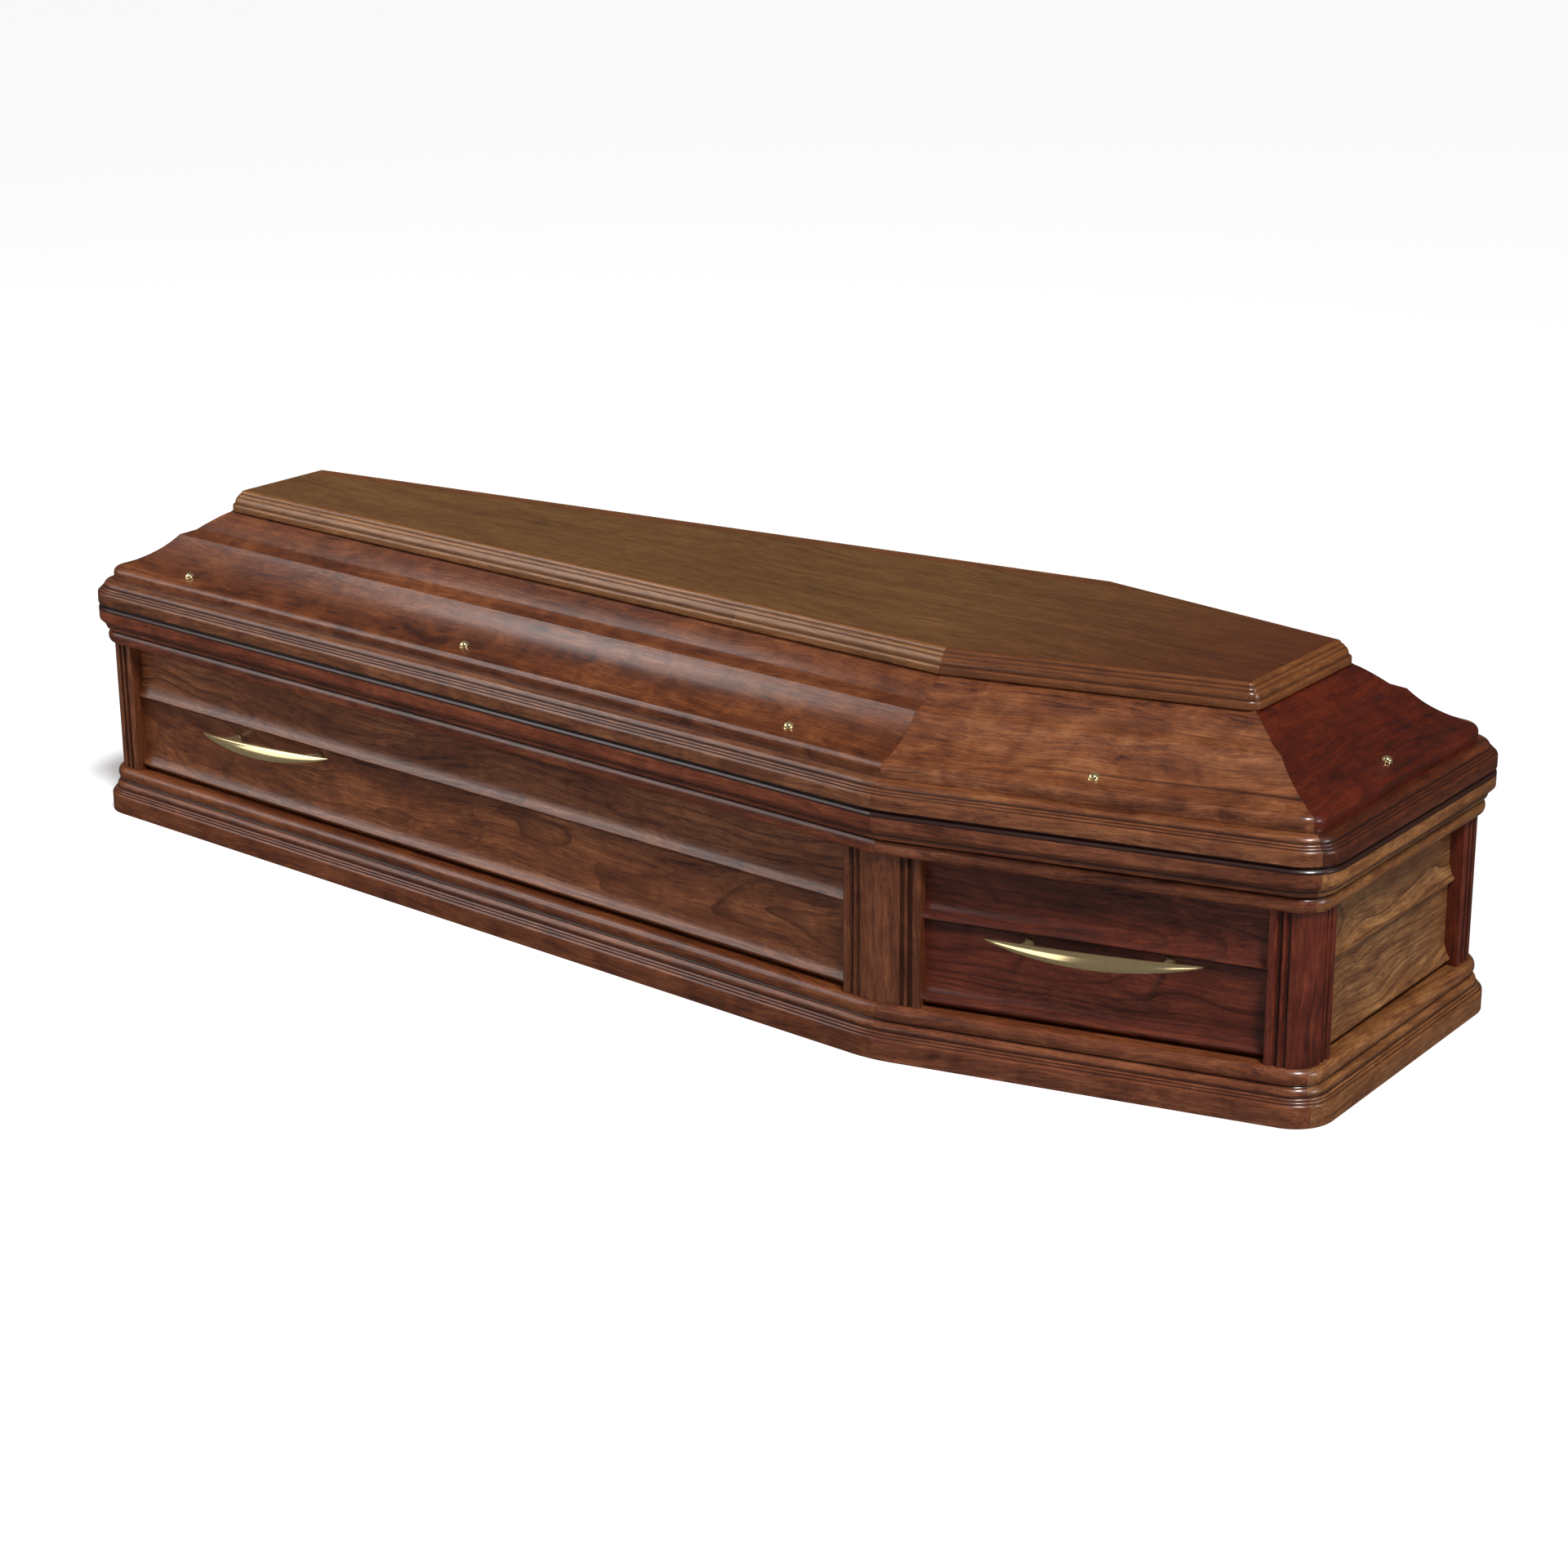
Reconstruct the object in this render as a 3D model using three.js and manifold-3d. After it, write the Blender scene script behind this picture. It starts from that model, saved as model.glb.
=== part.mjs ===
import * as THREE from 'three';
import { mergeVertices } from 'three/addons/utils/BufferGeometryUtils.js';
import Module from 'manifold-3d';

// A shouldered wooden coffin with a raised lid, brass bow handles and domed lid studs.
// Sizes are in millimetres. The head end is at +X, and the body's left side is at -Y.

// Plan of the plinth, which the rim and the lid frame repeat
const LENGTH = 2000;
const FOOT_WIDTH = 482;
const SHOULDER_WIDTH = 710;
const HEAD_WIDTH = 478;
const SHOULDER_FROM_HEAD = 534;
const CORNER_RADIUS = 55;
const SHOULDER_RADIUS = 200;

// Clearance between pieces that touch, and the depth of wood behind the mouldings
const GAP = 0.3;
const WALL_DEPTH = 62;

// Moulding shared by plinth and rim: how far each member steps inwards
const ROUND_IN = 3;
const REED_IN = 2.5;
const OVOLO_IN = 6.5;
const BEAD_IN = 4.7;
const BEAD_PROUD = 8.2;
const BEAD_QUIRK = 1;
const REEDS = 2;

// Heights of the plinth's members, from the ground up
const PLINTH_FACE = 24;
const PLINTH_ROUND = 4.5;
const PLINTH_REED = 3;
const PLINTH_OVOLO = 10.5;
const PLINTH_BEAD = 21;
const FLOOR_THICKNESS = 18;

// Walls between plinth and rim: corner posts, and panels cut as two overlapping boards
const WALL_HEIGHT = 189;
const POST_LEG = 54;
const POST_PLAIN = 28;
const GROOVE_WIDTH = 5.2;
const GROOVE_DEPTH = 3.5;
const GROOVE_FLANK = 1.3;
const REED_WIDTH = 5;
const POST_EDGE_ROUND = 2.5;
const PANEL_LIP_SET = 10.3;
const PANEL_FIELD_SET = 18.8;
const PANEL_HOLLOW_SET = 23.5;
const UPPER_LIP_HEIGHT = 112;
const LOWER_LIP_HEIGHT = 8;
const LIP_FACE = 2;
const LIP_SWEEP = 20;
const HOLLOW_HEIGHT = 5;
const HOLLOW_RUN_IN = 8;

// Heights of the rim's members, from the wall up
const RIM_BEAD = 20;
const RIM_OVOLO = 9.5;
const RIM_REED = 2.5;
const RIM_ROUND = 4;
const RIM_FACE = 15.5;
const RIM_CHAMFER = 3;

// Heights and steps of the lid frame's members
const FRAME_CHAMFER = 3.6;
const FRAME_CHAMFER_IN = 3;
const FRAME_FACE = 13.5;
const FRAME_ROUND = 4.5;
const FRAME_ROUND_IN = 3.5;
const FRAME_REED = 2.75;
const FRAME_REED_IN = 3;
const FRAME_OVOLO = 8;
const FRAME_OVOLO_IN = 8.5;
const FRAME_LEDGE = 7;

// Raised top plate: how far the arris of its upper face stands in from the body's plan
const PLATE_FOOT_SIDE_INSET = 160.5;
const PLATE_SHOULDER_SIDE_INSET = 166.3;
const PLATE_HEAD_SIDE_INSET = 129.3;
const PLATE_FOOT_INSET = 176.5;
const PLATE_HEAD_INSET = 172.3;
const PLATE_SHOULDER_SHIFT = 3.3;
const PLATE_ARRIS_RADIUS = 2;

// Members of the plate's edge moulding, from its underside up
const SLAB_OUT = 18;
const SLAB_EDGE = 7;
const SLAB_ROUND = 2.6;
const SLAB_LEDGE_OUT = 14.3;
const LOW_REED_OUT = 9.5;
const LOW_REED_HEIGHT = 10;
const MID_REED_OUT = 4.8;
const MID_REED_HEIGHT = 4.2;
const TOP_REED_OUT = 0.6;
const TOP_REED_HEIGHT = 4.4;
const PLATE_LAND = 3;
const REBATE_WIDTH = 19;
const BOARD_THICKNESS = 20;
const BUTT_JOINT_FROM_SHOULDER = 328;

// Slope panels, swept from the lid frame up to the plate.
// Parts of the way are shares of the panel's own run, because the run varies round the lid.
const SLOPE_RISE = 96.1;
const NOSE_RISE = 10;
const NOSE_ROUND = 8.8;
const NOSE_WAY = 0.066;
const COVE_WAY = 0.5945;
const COVE_RISE = 62.8;
const COVE_HANDLE_WAY = 0.399;
const COVE_HANDLE_RISE = 31.5;
const BAND_WAY = 0.7275;
const BAND_RISE = 69.1;
const CROWN_RISE = 93.7;
const CROWN_HANDLE_WAY = 0.9;
const CROWN_HANDLE_RISE = 87.4;
const SLOPE_HEEL_WAY = 0.12;
const SLOPE_REST_WAY = 1.02;
const SLOPE_HEAD_WAY = 1.16;
const SLOPE_HEAD_THICKNESS = 10;
const PLATE_OVERHANG = 2;
const HIP_ROUND_WAY = 0.24;

// Domed studs on the slope panels
const STUD_RADIUS = 7;
const STUD_FLANGE = 1;
const STUD_SHOULDER = 1;
const STUD_DOME = 4.6;
const STUD_INSET = 24;
const STUD_FROM_FOOT = 137;
const STUD_FROM_SHOULDER = 160;

// Bow handles: a tapering bar on two short arms
const HANDLE_LENGTH = 265;
const HANDLE_HEIGHT = 18;
const HANDLE_TIP_HEIGHT = 3;
const HANDLE_THICKNESS = 7;
const HANDLE_BULGE = 10;
const HANDLE_STANDOFF = 26;
const ARM_SPACING = 172;
const ARM_RADIUS = 4;
const ARM_HEAD_RADIUS = 5.5;
const ARM_DROP = 8;
const LONG_HANDLE_FROM_FOOT = 370;
const LONG_HANDLE_HEIGHT = 167.5;
const LONG_HANDLE_TILT = 3.4;
const SHORT_HANDLE_HEIGHT = 174.5;
const SHORT_HANDLE_TILT = 1.2;

// Radii under the first are sharp corners; points nearer than the others are one point
const SHARP_BELOW = 1;
const WELD = 1e-4;
const SAME = 1e-6;

// Smoothness of curves
const CORNER_STEPS = 2;
const SHOULDER_STEPS = 1;
const ROUND_STEPS = 2;
const BEAD_STEPS = 5;
const BAR_STATIONS = 12;
const BAR_SIDES = 8;
const STUD_SIDES = 12;

const SIDES = ['left_long', 'left_short', 'head', 'right_short', 'right_long', 'foot'];
const CORNERS = ['foot_left', 'shoulder_left', 'head_left', 'head_right', 'shoulder_right', 'foot_right'];
const SHOULDERS = [1, 4];

const lacquer = { roughness: 0.28, metalness: 0 };
const looks = {
  body: { color: 0x6b3a24, ...lacquer },
  panel: { color: 0x74402a, ...lacquer },
  slope: { color: 0x6f3a22, ...lacquer },
  top: { color: 0x6e5432, ...lacquer },
  floor: { color: 0x8a6a48, roughness: 0.7, metalness: 0 },
  brass: { color: 0xd8b45a, roughness: 0.18, metalness: 1 },
};

const wasm = await Module();
wasm.setup();
const coffin = new THREE.Group();
coffin.name = 'coffin';

function addPiece(name, geometry, look) {
  const mesh = new THREE.Mesh(geometry, new THREE.MeshStandardMaterial(looks[look]));
  mesh.name = name;
  coffin.add(mesh);
  return mesh;
}

// Plan outlines: six corners, anticlockwise from the foot's left corner

function outline(footX, footWidth, shoulderX, shoulderWidth, headX, headWidth) {
  const left = [
    new THREE.Vector2(footX, -footWidth / 2),
    new THREE.Vector2(shoulderX, -shoulderWidth / 2),
    new THREE.Vector2(headX, -headWidth / 2),
  ];
  const right = left.map((corner) => new THREE.Vector2(corner.x, -corner.y)).reverse();
  return [...left, ...right];
}

const after = (index) => (index + 1) % SIDES.length;
const before = (index) => (index + SIDES.length - 1) % SIDES.length;

function alongSide(corners, side) {
  return corners[after(side)].clone().sub(corners[side]).normalize();
}

function outwardOf(corners, side) {
  const along = alongSide(corners, side);
  return new THREE.Vector2(along.y, -along.x);
}

// The sum of a corner's two normals, scaled so that it reaches a line set out by 1
function cornerReach(corners, index) {
  const first = outwardOf(corners, before(index));
  const second = outwardOf(corners, index);
  return first.clone().add(second).divideScalar(1 + first.dot(second));
}

function setOut(corners, distance) {
  return corners.map((corner, index) => (
    corner.clone().addScaledVector(cornerReach(corners, index), distance)));
}

function mixed(from, to, way) {
  return from.map((corner, index) => corner.clone().lerp(to[index], way));
}

const shoulderX = LENGTH / 2 - SHOULDER_FROM_HEAD;
const bodyPlan = outline(-LENGTH / 2, FOOT_WIDTH, shoulderX, SHOULDER_WIDTH, LENGTH / 2, HEAD_WIDTH);
const platePlan = outline(
  PLATE_FOOT_INSET - LENGTH / 2, FOOT_WIDTH - 2 * PLATE_FOOT_SIDE_INSET,
  shoulderX - PLATE_SHOULDER_SHIFT, SHOULDER_WIDTH - 2 * PLATE_SHOULDER_SIDE_INSET,
  LENGTH / 2 - PLATE_HEAD_INSET, HEAD_WIDTH - 2 * PLATE_HEAD_SIDE_INSET,
);

// A mitre is an upright plane through a corner, given by two points of that corner
function mitresThrough(outer, inner) {
  return outer.map((point, index) => {
    const inwards = inner[index].clone().sub(point).normalize();
    return { point, normal: new THREE.Vector2(inwards.y, -inwards.x) };
  });
}

const pastMitre = (mitre, point) => point.clone().sub(mitre.point).dot(mitre.normal);

// Half of a rounded corner, from the mitre to the straight. A radius of 0 repeats the corner.
function halfCorner(corners, index, side, radius, steps) {
  const centre = corners[index].clone().addScaledVector(cornerReach(corners, index), -radius);
  const middle = cornerReach(corners, index).normalize();
  const straight = outwardOf(corners, side);
  const turn = Math.atan2(middle.cross(straight), middle.dot(straight));
  return Array.from({ length: steps + 1 }, (_, step) => {
    const spoke = middle.clone().rotateAround(new THREE.Vector2(), turn * step / steps);
    return centre.clone().addScaledVector(spoke, radius);
  });
}

// Moves the end of a course off its mitre, so that two neighbours stay a gap apart
function cutAtMitre(half, farEnd, mitre, clear) {
  const end = half[0];
  const next = half.find((point) => point.distanceTo(end) > SAME) ?? farEnd;
  const endPast = pastMitre(mitre, end);
  const cut = end.clone().lerp(next, (clear - endPast) / (pastMitre(mitre, next) - endPast));
  return half.map((point) => (point.distanceTo(end) > SAME ? point : cut.clone()));
}

// One side of an outline from mitre to mitre, as points in plan
function course(row, side, mitres) {
  const [start, end] = [side, after(side)];
  const first = halfCorner(row.corners, start, side, row.radii[start], row.steps[start]);
  const last = halfCorner(row.corners, end, side, row.radii[end], row.steps[end]);
  const begin = cutAtMitre(first, last[0], mitres[start], GAP / 2);
  const finish = cutAtMitre(last, first[0], mitres[end], -GAP / 2);
  return [...begin, ...finish.reverse()];
}

// A closed body through the same number of points on every row of its section.
// The section runs anticlockwise with outwards to the right.
function skin(rows) {
  const count = rows[0].points.length;
  const positions = rows.flatMap((row) => row.points.flatMap((point) => [point.x, point.y, row.z]));
  const triangles = [];
  const at = (row, station) => (row % rows.length) * count + station;
  for (let row = 0; row < rows.length; row += 1) {
    for (let station = 0; station < count - 1; station += 1) {
      const [a, b] = [at(row, station), at(row, station + 1)];
      const [c, d] = [at(row + 1, station + 1), at(row + 1, station)];
      triangles.push([a, b, c], [a, c, d]);
    }
  }
  for (const station of [0, count - 1]) {
    const ends = rows.map((row) => row.points[station]);
    const outwards = ends[0].clone().sub(ends.reduce((far, point) => (
      point.distanceTo(ends[0]) > far.distanceTo(ends[0]) ? point : far))).normalize();
    const flat = rows.map((row, index) => new THREE.Vector2(ends[index].dot(outwards), row.z));
    for (const face of THREE.ShapeUtils.triangulateShape(flat, [])) {
      const corners = face.map((row) => at(row, station));
      triangles.push(station === 0 ? corners : corners.reverse());
    }
  }
  return welded(positions, triangles);
}

function welded(positions, triangles) {
  const raw = new THREE.BufferGeometry();
  raw.setAttribute('position', new THREE.Float32BufferAttribute(positions, 3));
  raw.setIndex(triangles.flat());
  const merged = mergeVertices(raw, WELD);
  const index = [...merged.index.array];
  const kept = [];
  for (let corner = 0; corner < index.length; corner += 3) {
    const face = index.slice(corner, corner + 3);
    if (new Set(face).size === 3) kept.push(...face);
  }
  merged.setIndex(kept);
  merged.computeVertexNormals();
  return merged;
}

// Section points as [outwards, height]

function arc(centre, radii, fromDegrees, toDegrees, steps) {
  return Array.from({ length: steps + 1 }, (_, step) => {
    const angle = THREE.MathUtils.degToRad(fromDegrees + (toDegrees - fromDegrees) * step / steps);
    return [centre[0] + radii[0] * Math.cos(angle), centre[1] + radii[1] * Math.sin(angle)];
  });
}

// A convex quarter, starting upright and ending level
const quarter = (from, inwards, rise) => (
  arc([from[0] - inwards, from[1]], [inwards, rise], 0, 90, ROUND_STEPS).slice(1));

// The members from the face's arris to the wall: round, reeds, ovolo, then a half-round bead
function members(round, reed, ovolo, bead) {
  const points = [[0, 0]];
  const steps = [[ROUND_IN, round], ...Array(REEDS).fill([REED_IN, reed]), [OVOLO_IN, ovolo]];
  for (const [inwards, rise] of steps) points.push(...quarter(points.at(-1), inwards, rise));
  const [out, height] = points.at(-1);
  const start = THREE.MathUtils.radToDeg(-Math.acos((BEAD_IN - BEAD_QUIRK) / BEAD_PROUD));
  points.push(...arc([out - BEAD_IN, height + bead / 2], [BEAD_PROUD, bead / 2], start, 90, BEAD_STEPS));
  return points;
}

const wallFace = -(ROUND_IN + REEDS * REED_IN + OVOLO_IN + BEAD_IN);
const plinthHeight = PLINTH_FACE + PLINTH_ROUND + REEDS * PLINTH_REED + PLINTH_OVOLO + PLINTH_BEAD;
const wallBottom = plinthHeight + GAP;
const wallTop = wallBottom + WALL_HEIGHT;
const rimBottom = wallTop + GAP;
const rimMembers = RIM_ROUND + REEDS * RIM_REED + RIM_OVOLO + RIM_BEAD;
const rimTop = rimBottom + rimMembers + RIM_FACE + RIM_CHAMFER;
const lidBottom = rimTop + GAP;
const frameHeight = FRAME_CHAMFER + FRAME_FACE + FRAME_ROUND + REEDS * FRAME_REED + FRAME_OVOLO;
const slopeBottom = lidBottom + frameHeight + GAP;
const plateBottom = slopeBottom + SLOPE_RISE + GAP;

// A ring of six mitred lengths round the body's plan
function bodyRing(name, section, look, softShoulders) {
  const mitres = mitresThrough(bodyPlan, setOut(bodyPlan, -WALL_DEPTH));
  const rows = section.map(([out, height]) => ({
    z: height,
    corners: setOut(bodyPlan, out),
    radii: CORNERS.map((_, index) => cornerRadiusAt(index, out, softShoulders)),
    steps: CORNERS.map((_, index) => (SHOULDERS.includes(index) ? SHOULDER_STEPS : CORNER_STEPS)),
  }));
  SIDES.forEach((side, index) => {
    const placed = rows.map((row) => ({ z: row.z, points: course(row, index, mitres) }));
    addPiece(`${name}_${side}`, skin(placed), look);
  });
}

// The inner faces of a ring meet in sharp corners
function cornerRadiusAt(index, out, softShoulders) {
  if (out <= -WALL_DEPTH) return 0;
  if (!SHOULDERS.includes(index)) return roundedFrom(CORNER_RADIUS + out);
  return softShoulders ? roundedFrom(SHOULDER_RADIUS + out) : 0;
}

const roundedFrom = (radius) => (radius < SHARP_BELOW ? 0 : radius);

function plinth() {
  const outside = members(PLINTH_ROUND, PLINTH_REED, PLINTH_OVOLO, PLINTH_BEAD);
  const section = [
    [0, 0],
    ...outside.map(([out, rise]) => [out, PLINTH_FACE + rise]),
    [-WALL_DEPTH, plinthHeight],
    [-WALL_DEPTH, 0],
  ];
  bodyRing('plinth', section, 'body', true);
}

function rim() {
  const outside = members(RIM_ROUND, RIM_REED, RIM_OVOLO, RIM_BEAD);
  const faceBottom = rimBottom + rimMembers;
  const section = [
    ...outside.map(([out, rise]) => [out, faceBottom - rise]).reverse(),
    [0, rimTop - RIM_CHAMFER],
    [-RIM_CHAMFER, rimTop],
    [-WALL_DEPTH, rimTop],
    [-WALL_DEPTH, rimBottom],
  ];
  bodyRing('rim', section, 'body', false);
}

function lidFrame() {
  const section = [[-FRAME_CHAMFER_IN, lidBottom], [0, lidBottom + FRAME_CHAMFER]];
  section.push([0, lidBottom + FRAME_CHAMFER + FRAME_FACE]);
  const steps = [
    [FRAME_ROUND_IN, FRAME_ROUND],
    ...Array(REEDS).fill([FRAME_REED_IN, FRAME_REED]),
    [FRAME_OVOLO_IN, FRAME_OVOLO],
  ];
  for (const [inwards, rise] of steps) section.push(...quarter(section.at(-1), inwards, rise));
  section.push([-WALL_DEPTH, lidBottom + frameHeight], [-WALL_DEPTH, lidBottom]);
  bodyRing('lid_frame', section, 'body', true);
}

// Floor board, let in between the plinth's lengths and level with its underside
function floor() {
  const shape = new THREE.Shape(setOut(bodyPlan, -WALL_DEPTH - GAP));
  const geometry = new THREE.ExtrudeGeometry(shape, { depth: FLOOR_THICKNESS, bevelEnabled: false });
  addPiece('floor', geometry, 'floor');
}

// Plan of one leg of a post, from the plain part to the leg's end, as [along, outwards]
function legPlan() {
  const bottom = wallFace - GROOVE_DEPTH;
  const halfway = wallFace - GROOVE_DEPTH / 2;
  const groove = (start) => (
    [[start + GROOVE_FLANK, bottom], [start + GROOVE_WIDTH - GROOVE_FLANK, bottom]]);
  const reedStart = POST_PLAIN + GROOVE_WIDTH;
  const reedEnd = reedStart + REED_WIDTH;
  const bandStart = reedEnd + GROOVE_WIDTH;
  return [
    [POST_PLAIN, wallFace],
    ...groove(POST_PLAIN),
    [reedStart, halfway],
    [reedStart + REED_WIDTH / 2, wallFace],
    [reedEnd, halfway],
    ...groove(reedEnd),
    [bandStart, halfway],
    [bandStart + POST_EDGE_ROUND, wallFace],
    [POST_LEG - POST_EDGE_ROUND, wallFace],
    [POST_LEG, wallFace - POST_EDGE_ROUND],
    [POST_LEG, -WALL_DEPTH],
  ];
}

// A corner post with a reeded leg along each of its two sides
function post(index) {
  const face = setOut(bodyPlan, wallFace);
  const legOn = (side, heading) => legPlan().map(([along, out]) => (
    face[index].clone()
      .addScaledVector(alongSide(bodyPlan, side), along * heading)
      .addScaledVector(outwardOf(bodyPlan, side), out - wallFace)));
  const radius = SHOULDERS.includes(index) ? 0 : roundedFrom(CORNER_RADIUS + wallFace);
  const steps = radius ? 2 * CORNER_STEPS : 1;
  const round = (side) => halfCorner(face, index, side, radius, steps).slice(0, -1);
  const backwards = [...round(before(index)), ...legOn(before(index), -1)].reverse();
  const forwards = [...round(index).slice(1), ...legOn(index, 1)];
  const inside = setOut(bodyPlan, -WALL_DEPTH)[index];
  const shape = new THREE.Shape([...backwards, ...forwards, inside]);
  const geometry = new THREE.ExtrudeGeometry(shape, { depth: WALL_HEIGHT, bevelEnabled: false });
  geometry.translate(0, 0, wallBottom);
  addPiece(`post_${CORNERS[index]}`, geometry, 'body');
}

// Face of one overlapping board, from its lip up to its top, as [outwards, height]
function boardFace(lipHeight, top) {
  const lip = wallFace - PANEL_LIP_SET;
  const field = wallFace - PANEL_FIELD_SET;
  const hollow = wallFace - PANEL_HOLLOW_SET;
  const sweep = new THREE.QuadraticBezierCurve(
    new THREE.Vector2(lip, lipHeight + LIP_FACE),
    new THREE.Vector2(field, lipHeight + LIP_FACE),
    new THREE.Vector2(field, lipHeight + LIP_FACE + LIP_SWEEP),
  );
  return [
    [lip, lipHeight],
    ...sweep.getPoints(2 * ROUND_STEPS).map((point) => [point.x, point.y]),
    [field, top - HOLLOW_HEIGHT - HOLLOW_RUN_IN],
    [hollow, top - HOLLOW_HEIGHT],
    [hollow, top],
  ];
}

function panelSection() {
  const upperLip = wallBottom + UPPER_LIP_HEIGHT;
  const lowerLip = wallBottom + LOWER_LIP_HEIGHT;
  return [
    [wallFace - PANEL_HOLLOW_SET, wallBottom],
    ...boardFace(lowerLip, upperLip),
    ...boardFace(upperLip, wallTop),
    [-WALL_DEPTH, wallTop],
    [-WALL_DEPTH, wallBottom],
  ];
}

// How far out the panel's face stands at a height
function panelFaceAt(height) {
  const section = panelSection().slice(0, -2);
  const above = section.findIndex((point) => point[1] > height);
  const [low, high] = [section[above - 1], section[above]];
  return THREE.MathUtils.mapLinear(height, low[1], high[1], low[0], high[0]);
}

// A wall panel between two posts, square cut at its ends
function wallPanel(side) {
  const face = setOut(bodyPlan, wallFace);
  const along = alongSide(bodyPlan, side);
  const outwards = outwardOf(bodyPlan, side);
  const start = face[side].clone().addScaledVector(along, POST_LEG + GAP);
  const end = face[after(side)].clone().addScaledVector(along, -POST_LEG - GAP);
  const rows = panelSection().map(([out, height]) => ({
    z: height,
    points: [start, end].map((point) => point.clone().addScaledVector(outwards, out - wallFace)),
  }));
  addPiece(`panel_${SIDES[side]}`, skin(rows), 'panel');
}

// Slope panels: every row is the lid frame's line moved some way towards the plate's line
const slopeInset = FRAME_ROUND_IN + REEDS * FRAME_REED_IN + FRAME_OVOLO_IN + FRAME_LEDGE;
const slopeFoot = setOut(bodyPlan, -slopeInset);
const slopeHead = setOut(platePlan, SLAB_OUT - PLATE_OVERHANG);
const slopePlanAt = (way) => mixed(slopeFoot, slopeHead, way);

function bezier(from, handle, to, steps) {
  const curve = new THREE.QuadraticBezierCurve(
    new THREE.Vector2(...from),
    new THREE.Vector2(...handle),
    new THREE.Vector2(...to),
  );
  return curve.getPoints(steps).slice(1).map((point) => [point.x, point.y]);
}

// Upper face of a slope panel as [way, rise]: nose, cove, band and crown
function slopeFace() {
  const noseEnd = [NOSE_WAY, NOSE_RISE + NOSE_ROUND];
  const band = [BAND_WAY, BAND_RISE];
  return [
    [0, 0],
    [0, NOSE_RISE],
    ...arc([NOSE_WAY, NOSE_RISE], [NOSE_WAY, NOSE_ROUND], 180, 90, ROUND_STEPS + 1).slice(1),
    ...bezier(noseEnd, [COVE_HANDLE_WAY, COVE_HANDLE_RISE], [COVE_WAY, COVE_RISE], BEAD_STEPS),
    band,
    ...bezier(band, [CROWN_HANDLE_WAY, CROWN_HANDLE_RISE], [1, CROWN_RISE], ROUND_STEPS + 1),
  ];
}

// One radius at the four end corners, and sharp shoulders
const endCorners = (radius) => ({
  radii: CORNERS.map((_, index) => (SHOULDERS.includes(index) ? 0 : roundedFrom(radius))),
  steps: CORNERS.map((_, index) => (SHOULDERS.includes(index) ? 1 : CORNER_STEPS)),
});

function slopeRiseAt(way) {
  const face = slopeFace().slice(1);
  const above = face.findIndex((point) => point[0] > way);
  const [low, high] = [face[above - 1], face[above]];
  return THREE.MathUtils.mapLinear(way, low[0], high[0], low[1], high[1]);
}

function slopes() {
  const mitres = mitresThrough(slopeFoot, slopeHead);
  const underside = SLOPE_RISE - SLOPE_HEAD_THICKNESS;
  const section = [
    ...slopeFace(),
    [SLOPE_REST_WAY, SLOPE_RISE],
    [SLOPE_HEAD_WAY, SLOPE_RISE],
    [SLOPE_HEAD_WAY, underside],
    [SLOPE_HEEL_WAY, 0],
  ];
  const rows = section.map(([way, rise]) => ({
    z: slopeBottom + rise,
    corners: slopePlanAt(way),
    ...endCorners((CORNER_RADIUS - slopeInset) * (1 - way / HIP_ROUND_WAY)),
  }));
  SIDES.forEach((side, index) => {
    const placed = rows.map((row) => ({ z: row.z, points: course(row, index, mitres) }));
    addPiece(`slope_${side}`, skin(placed), 'slope');
  });
}

// Edge moulding of the plate, with a rebate that carries the top board
const rebateHeight = SLAB_EDGE + SLAB_ROUND + LOW_REED_HEIGHT + MID_REED_HEIGHT + TOP_REED_HEIGHT
  - BOARD_THICKNESS - GAP;

function plateSection() {
  const ledge = SLAB_EDGE + SLAB_ROUND;
  const section = [
    [SLAB_OUT, 0],
    [SLAB_OUT, SLAB_EDGE],
    ...quarter([SLAB_OUT, SLAB_EDGE], SLAB_ROUND, SLAB_ROUND),
    [SLAB_LEDGE_OUT, ledge],
  ];
  section.push(...quarter(section.at(-1), SLAB_LEDGE_OUT - LOW_REED_OUT, LOW_REED_HEIGHT));
  section.push(...quarter(section.at(-1), LOW_REED_OUT - MID_REED_OUT, MID_REED_HEIGHT));
  section.push(...quarter(section.at(-1), MID_REED_OUT - TOP_REED_OUT, TOP_REED_HEIGHT));
  section.push([-PLATE_LAND, section.at(-1)[1]]);
  section.push([-PLATE_LAND, rebateHeight]);
  section.push([-PLATE_LAND - REBATE_WIDTH, rebateHeight]);
  section.push([-PLATE_LAND - REBATE_WIDTH, 0]);
  return section;
}

function plate() {
  const mitres = mitresThrough(platePlan, setOut(platePlan, -PLATE_LAND - REBATE_WIDTH));
  const rows = plateSection().map(([out, rise]) => ({
    z: plateBottom + rise,
    corners: setOut(platePlan, out),
    ...endCorners(PLATE_ARRIS_RADIUS + out),
  }));
  SIDES.forEach((side, index) => {
    const placed = rows.map((row) => ({ z: row.z, points: course(row, index, mitres) }));
    if (index > 0) {
      addPiece(`plate_edge_${side}`, skin(placed), 'top');
      return;
    }
    const [footward, headward] = splitAtButtJoint(placed);
    addPiece(`plate_edge_${side}_foot`, skin(footward), 'top');
    addPiece(`plate_edge_${side}_head`, skin(headward), 'top');
  });
  const board = new THREE.Shape(setOut(platePlan, -PLATE_LAND - GAP));
  const geometry = new THREE.ExtrudeGeometry(board, { depth: BOARD_THICKNESS, bevelEnabled: false });
  geometry.translate(0, 0, plateBottom + rebateHeight + GAP);
  addPiece('top_board', geometry, 'top');
}

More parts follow.
